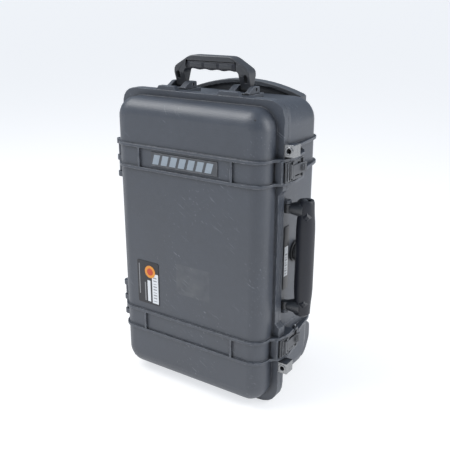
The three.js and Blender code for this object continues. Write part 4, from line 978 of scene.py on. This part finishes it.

# ---- Trolley handle ------------------------------------------------------------------------
# Three pairs of drawn aluminium tubes slide in one another behind a screwed-on cover. The arched grip at
# their top is one moulded piece, and the dark band in its front groove is painted shade. It has a sprung
# release button.

tube_aluminium = bare_metal("tube aluminium", (0.42, 0.43, 0.44), (0.6, 0.61, 0.62), 0.32, (420, 420, 5))
for side in ("right", "left"):
    for stage in ("fixed", "middle", "inner"):
        finish_nodes(tube_aluminium, 0.0004, "trolley_" + stage + "_tube_" + side)
trolley_plastic = moulded_plastic(
    "trolley plastic",
    dark=(0.034, 0.04, 0.05),
    light=(0.05, 0.057, 0.069),
    rubbed=(0.18, 0.195, 0.22),
    dusty=dry_dust,
    roughness=0.45,
    cell=1200,
    relief=0.18,
    rub_share=1.0,
    dust_share=0.2,
    # A wide reach, so that the painted shade darkens the grip's whole front groove.
    seam=0.03,
)
finish_nodes(trolley_plastic, 0.001, "trolley_grip")
finish_nodes(frame_plastic, 0.0006, "trolley_foot", "trolley_guide", "trolley_release_button")
finish_nodes(shell_plastic, shell_edge, "trolley_cover")

screw_steel = bare_metal("screw steel", (0.3, 0.31, 0.33), (0.48, 0.49, 0.51), 0.3)
head_radius = 0.0049
for index in range(1, 5):
    node = "trolley_cover_screw_" + str(index)
    low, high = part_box(node)
    centre = ((low.x + high.x) / 2, high.y, (low.z + high.z) / 2)
    shape = bmesh.new()
    profile = (
        (0.0, -0.0012),
        (0.0022, -0.0012),
        (0.0024, 0.0),
        (head_radius * 0.7, -0.0001),
        (head_radius, -0.0012),
        (head_radius, -0.0024),
        (0.0025, -0.0024),
        (0.0025, low.y - high.y),
        (0.0, low.y - high.y),
    )
    turned_piece(shape, profile, centre, (0, 1, 0), 24)
    place_piece("cover_screw_" + str(index), shape, [screw_steel], "base", "steel", node)

# ---- Wheels --------------------------------------------------------------------------------
# Polyurethane tyres moulded on resin hubs, each turning on a sealed bearing and a steel axle
# under its housing.

tyre_rubber = rubber("tyre rubber", (0.028, 0.028, 0.03), (0.05, 0.049, 0.048), 0.6, 1100)
hub_plastic = moulded_plastic(
    "hub plastic",
    dark=(0.12, 0.125, 0.13),
    light=(0.16, 0.165, 0.17),
    rubbed=(0.3, 0.3, 0.31),
    dusty=dry_dust,
    roughness=0.45,
    cell=1200,
    relief=0.15,
)
tyre_radius = 0.027
for side in ("right", "left"):
    body = "wheel_" + side
    low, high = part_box("wheel_tyre_" + side)
    centre = (low + high) / 2
    centre.z = low.z + tyre_radius
    axle_low, axle_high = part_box("wheel_axle_" + side)
    centre.y = (axle_low.y + axle_high.y) / 2
    half = (high.x - low.x) / 2
    tread = (
        (0.0192, -half + 0.001),
        (0.0225, -half),
        (0.0248, -half + 0.0006),
        (0.0266, -half + 0.003),
        (tyre_radius, -half + 0.0065),
        (tyre_radius, half - 0.0065),
        (0.0266, half - 0.003),
        (0.0248, half - 0.0006),
        (0.0225, half),
        (0.0192, half - 0.001),
    )
    shape = bmesh.new()
    turned_piece(shape, tread, centre, (1, 0, 0), 64)
    place_piece("tyre_" + side, shape, [tyre_rubber], body, "rubber", "wheel_tyre_" + side)
    low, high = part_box("wheel_hub_" + side)
    half = (high.x - low.x) / 2
    rim = (
        (0.0112, -half + 0.001),
        (0.0128, -half + 0.001),
        (0.0136, -half + 0.0045),
        (0.0165, -half + 0.0045),
        (0.0172, -half),
        (0.019, -half),
        (0.019, half),
        (0.0172, half),
        (0.0165, half - 0.0045),
        (0.0136, half - 0.0045),
        (0.0128, half - 0.001),
        (0.0112, half - 0.001),
    )
    shape = bmesh.new()
    turned_piece(shape, rim, centre, (1, 0, 0), 60)
    # Six webs on each flat face of the hub, each a third of its sector wide.
    webs = []
    for face in shape.faces:
        middle = face.calc_center_median()
        y, z = middle.y - centre.y, middle.z - centre.z
        on_face = abs(face.normal.x) > 0.9 and 0.0138 < math.hypot(y, z) < 0.0163
        if on_face and math.atan2(z, y) % (math.pi / 3) < math.pi / 9:
            webs.append(face)
    bmesh.ops.inset_region(shape, faces=webs, thickness=0.0003, depth=0.003)
    place_piece("hub_" + side, shape, [hub_plastic], body, "shell", "wheel_hub_" + side)
    finish_nodes(pin_steel, 0.0003, "wheel_bearing_" + side, "wheel_axle_" + side)
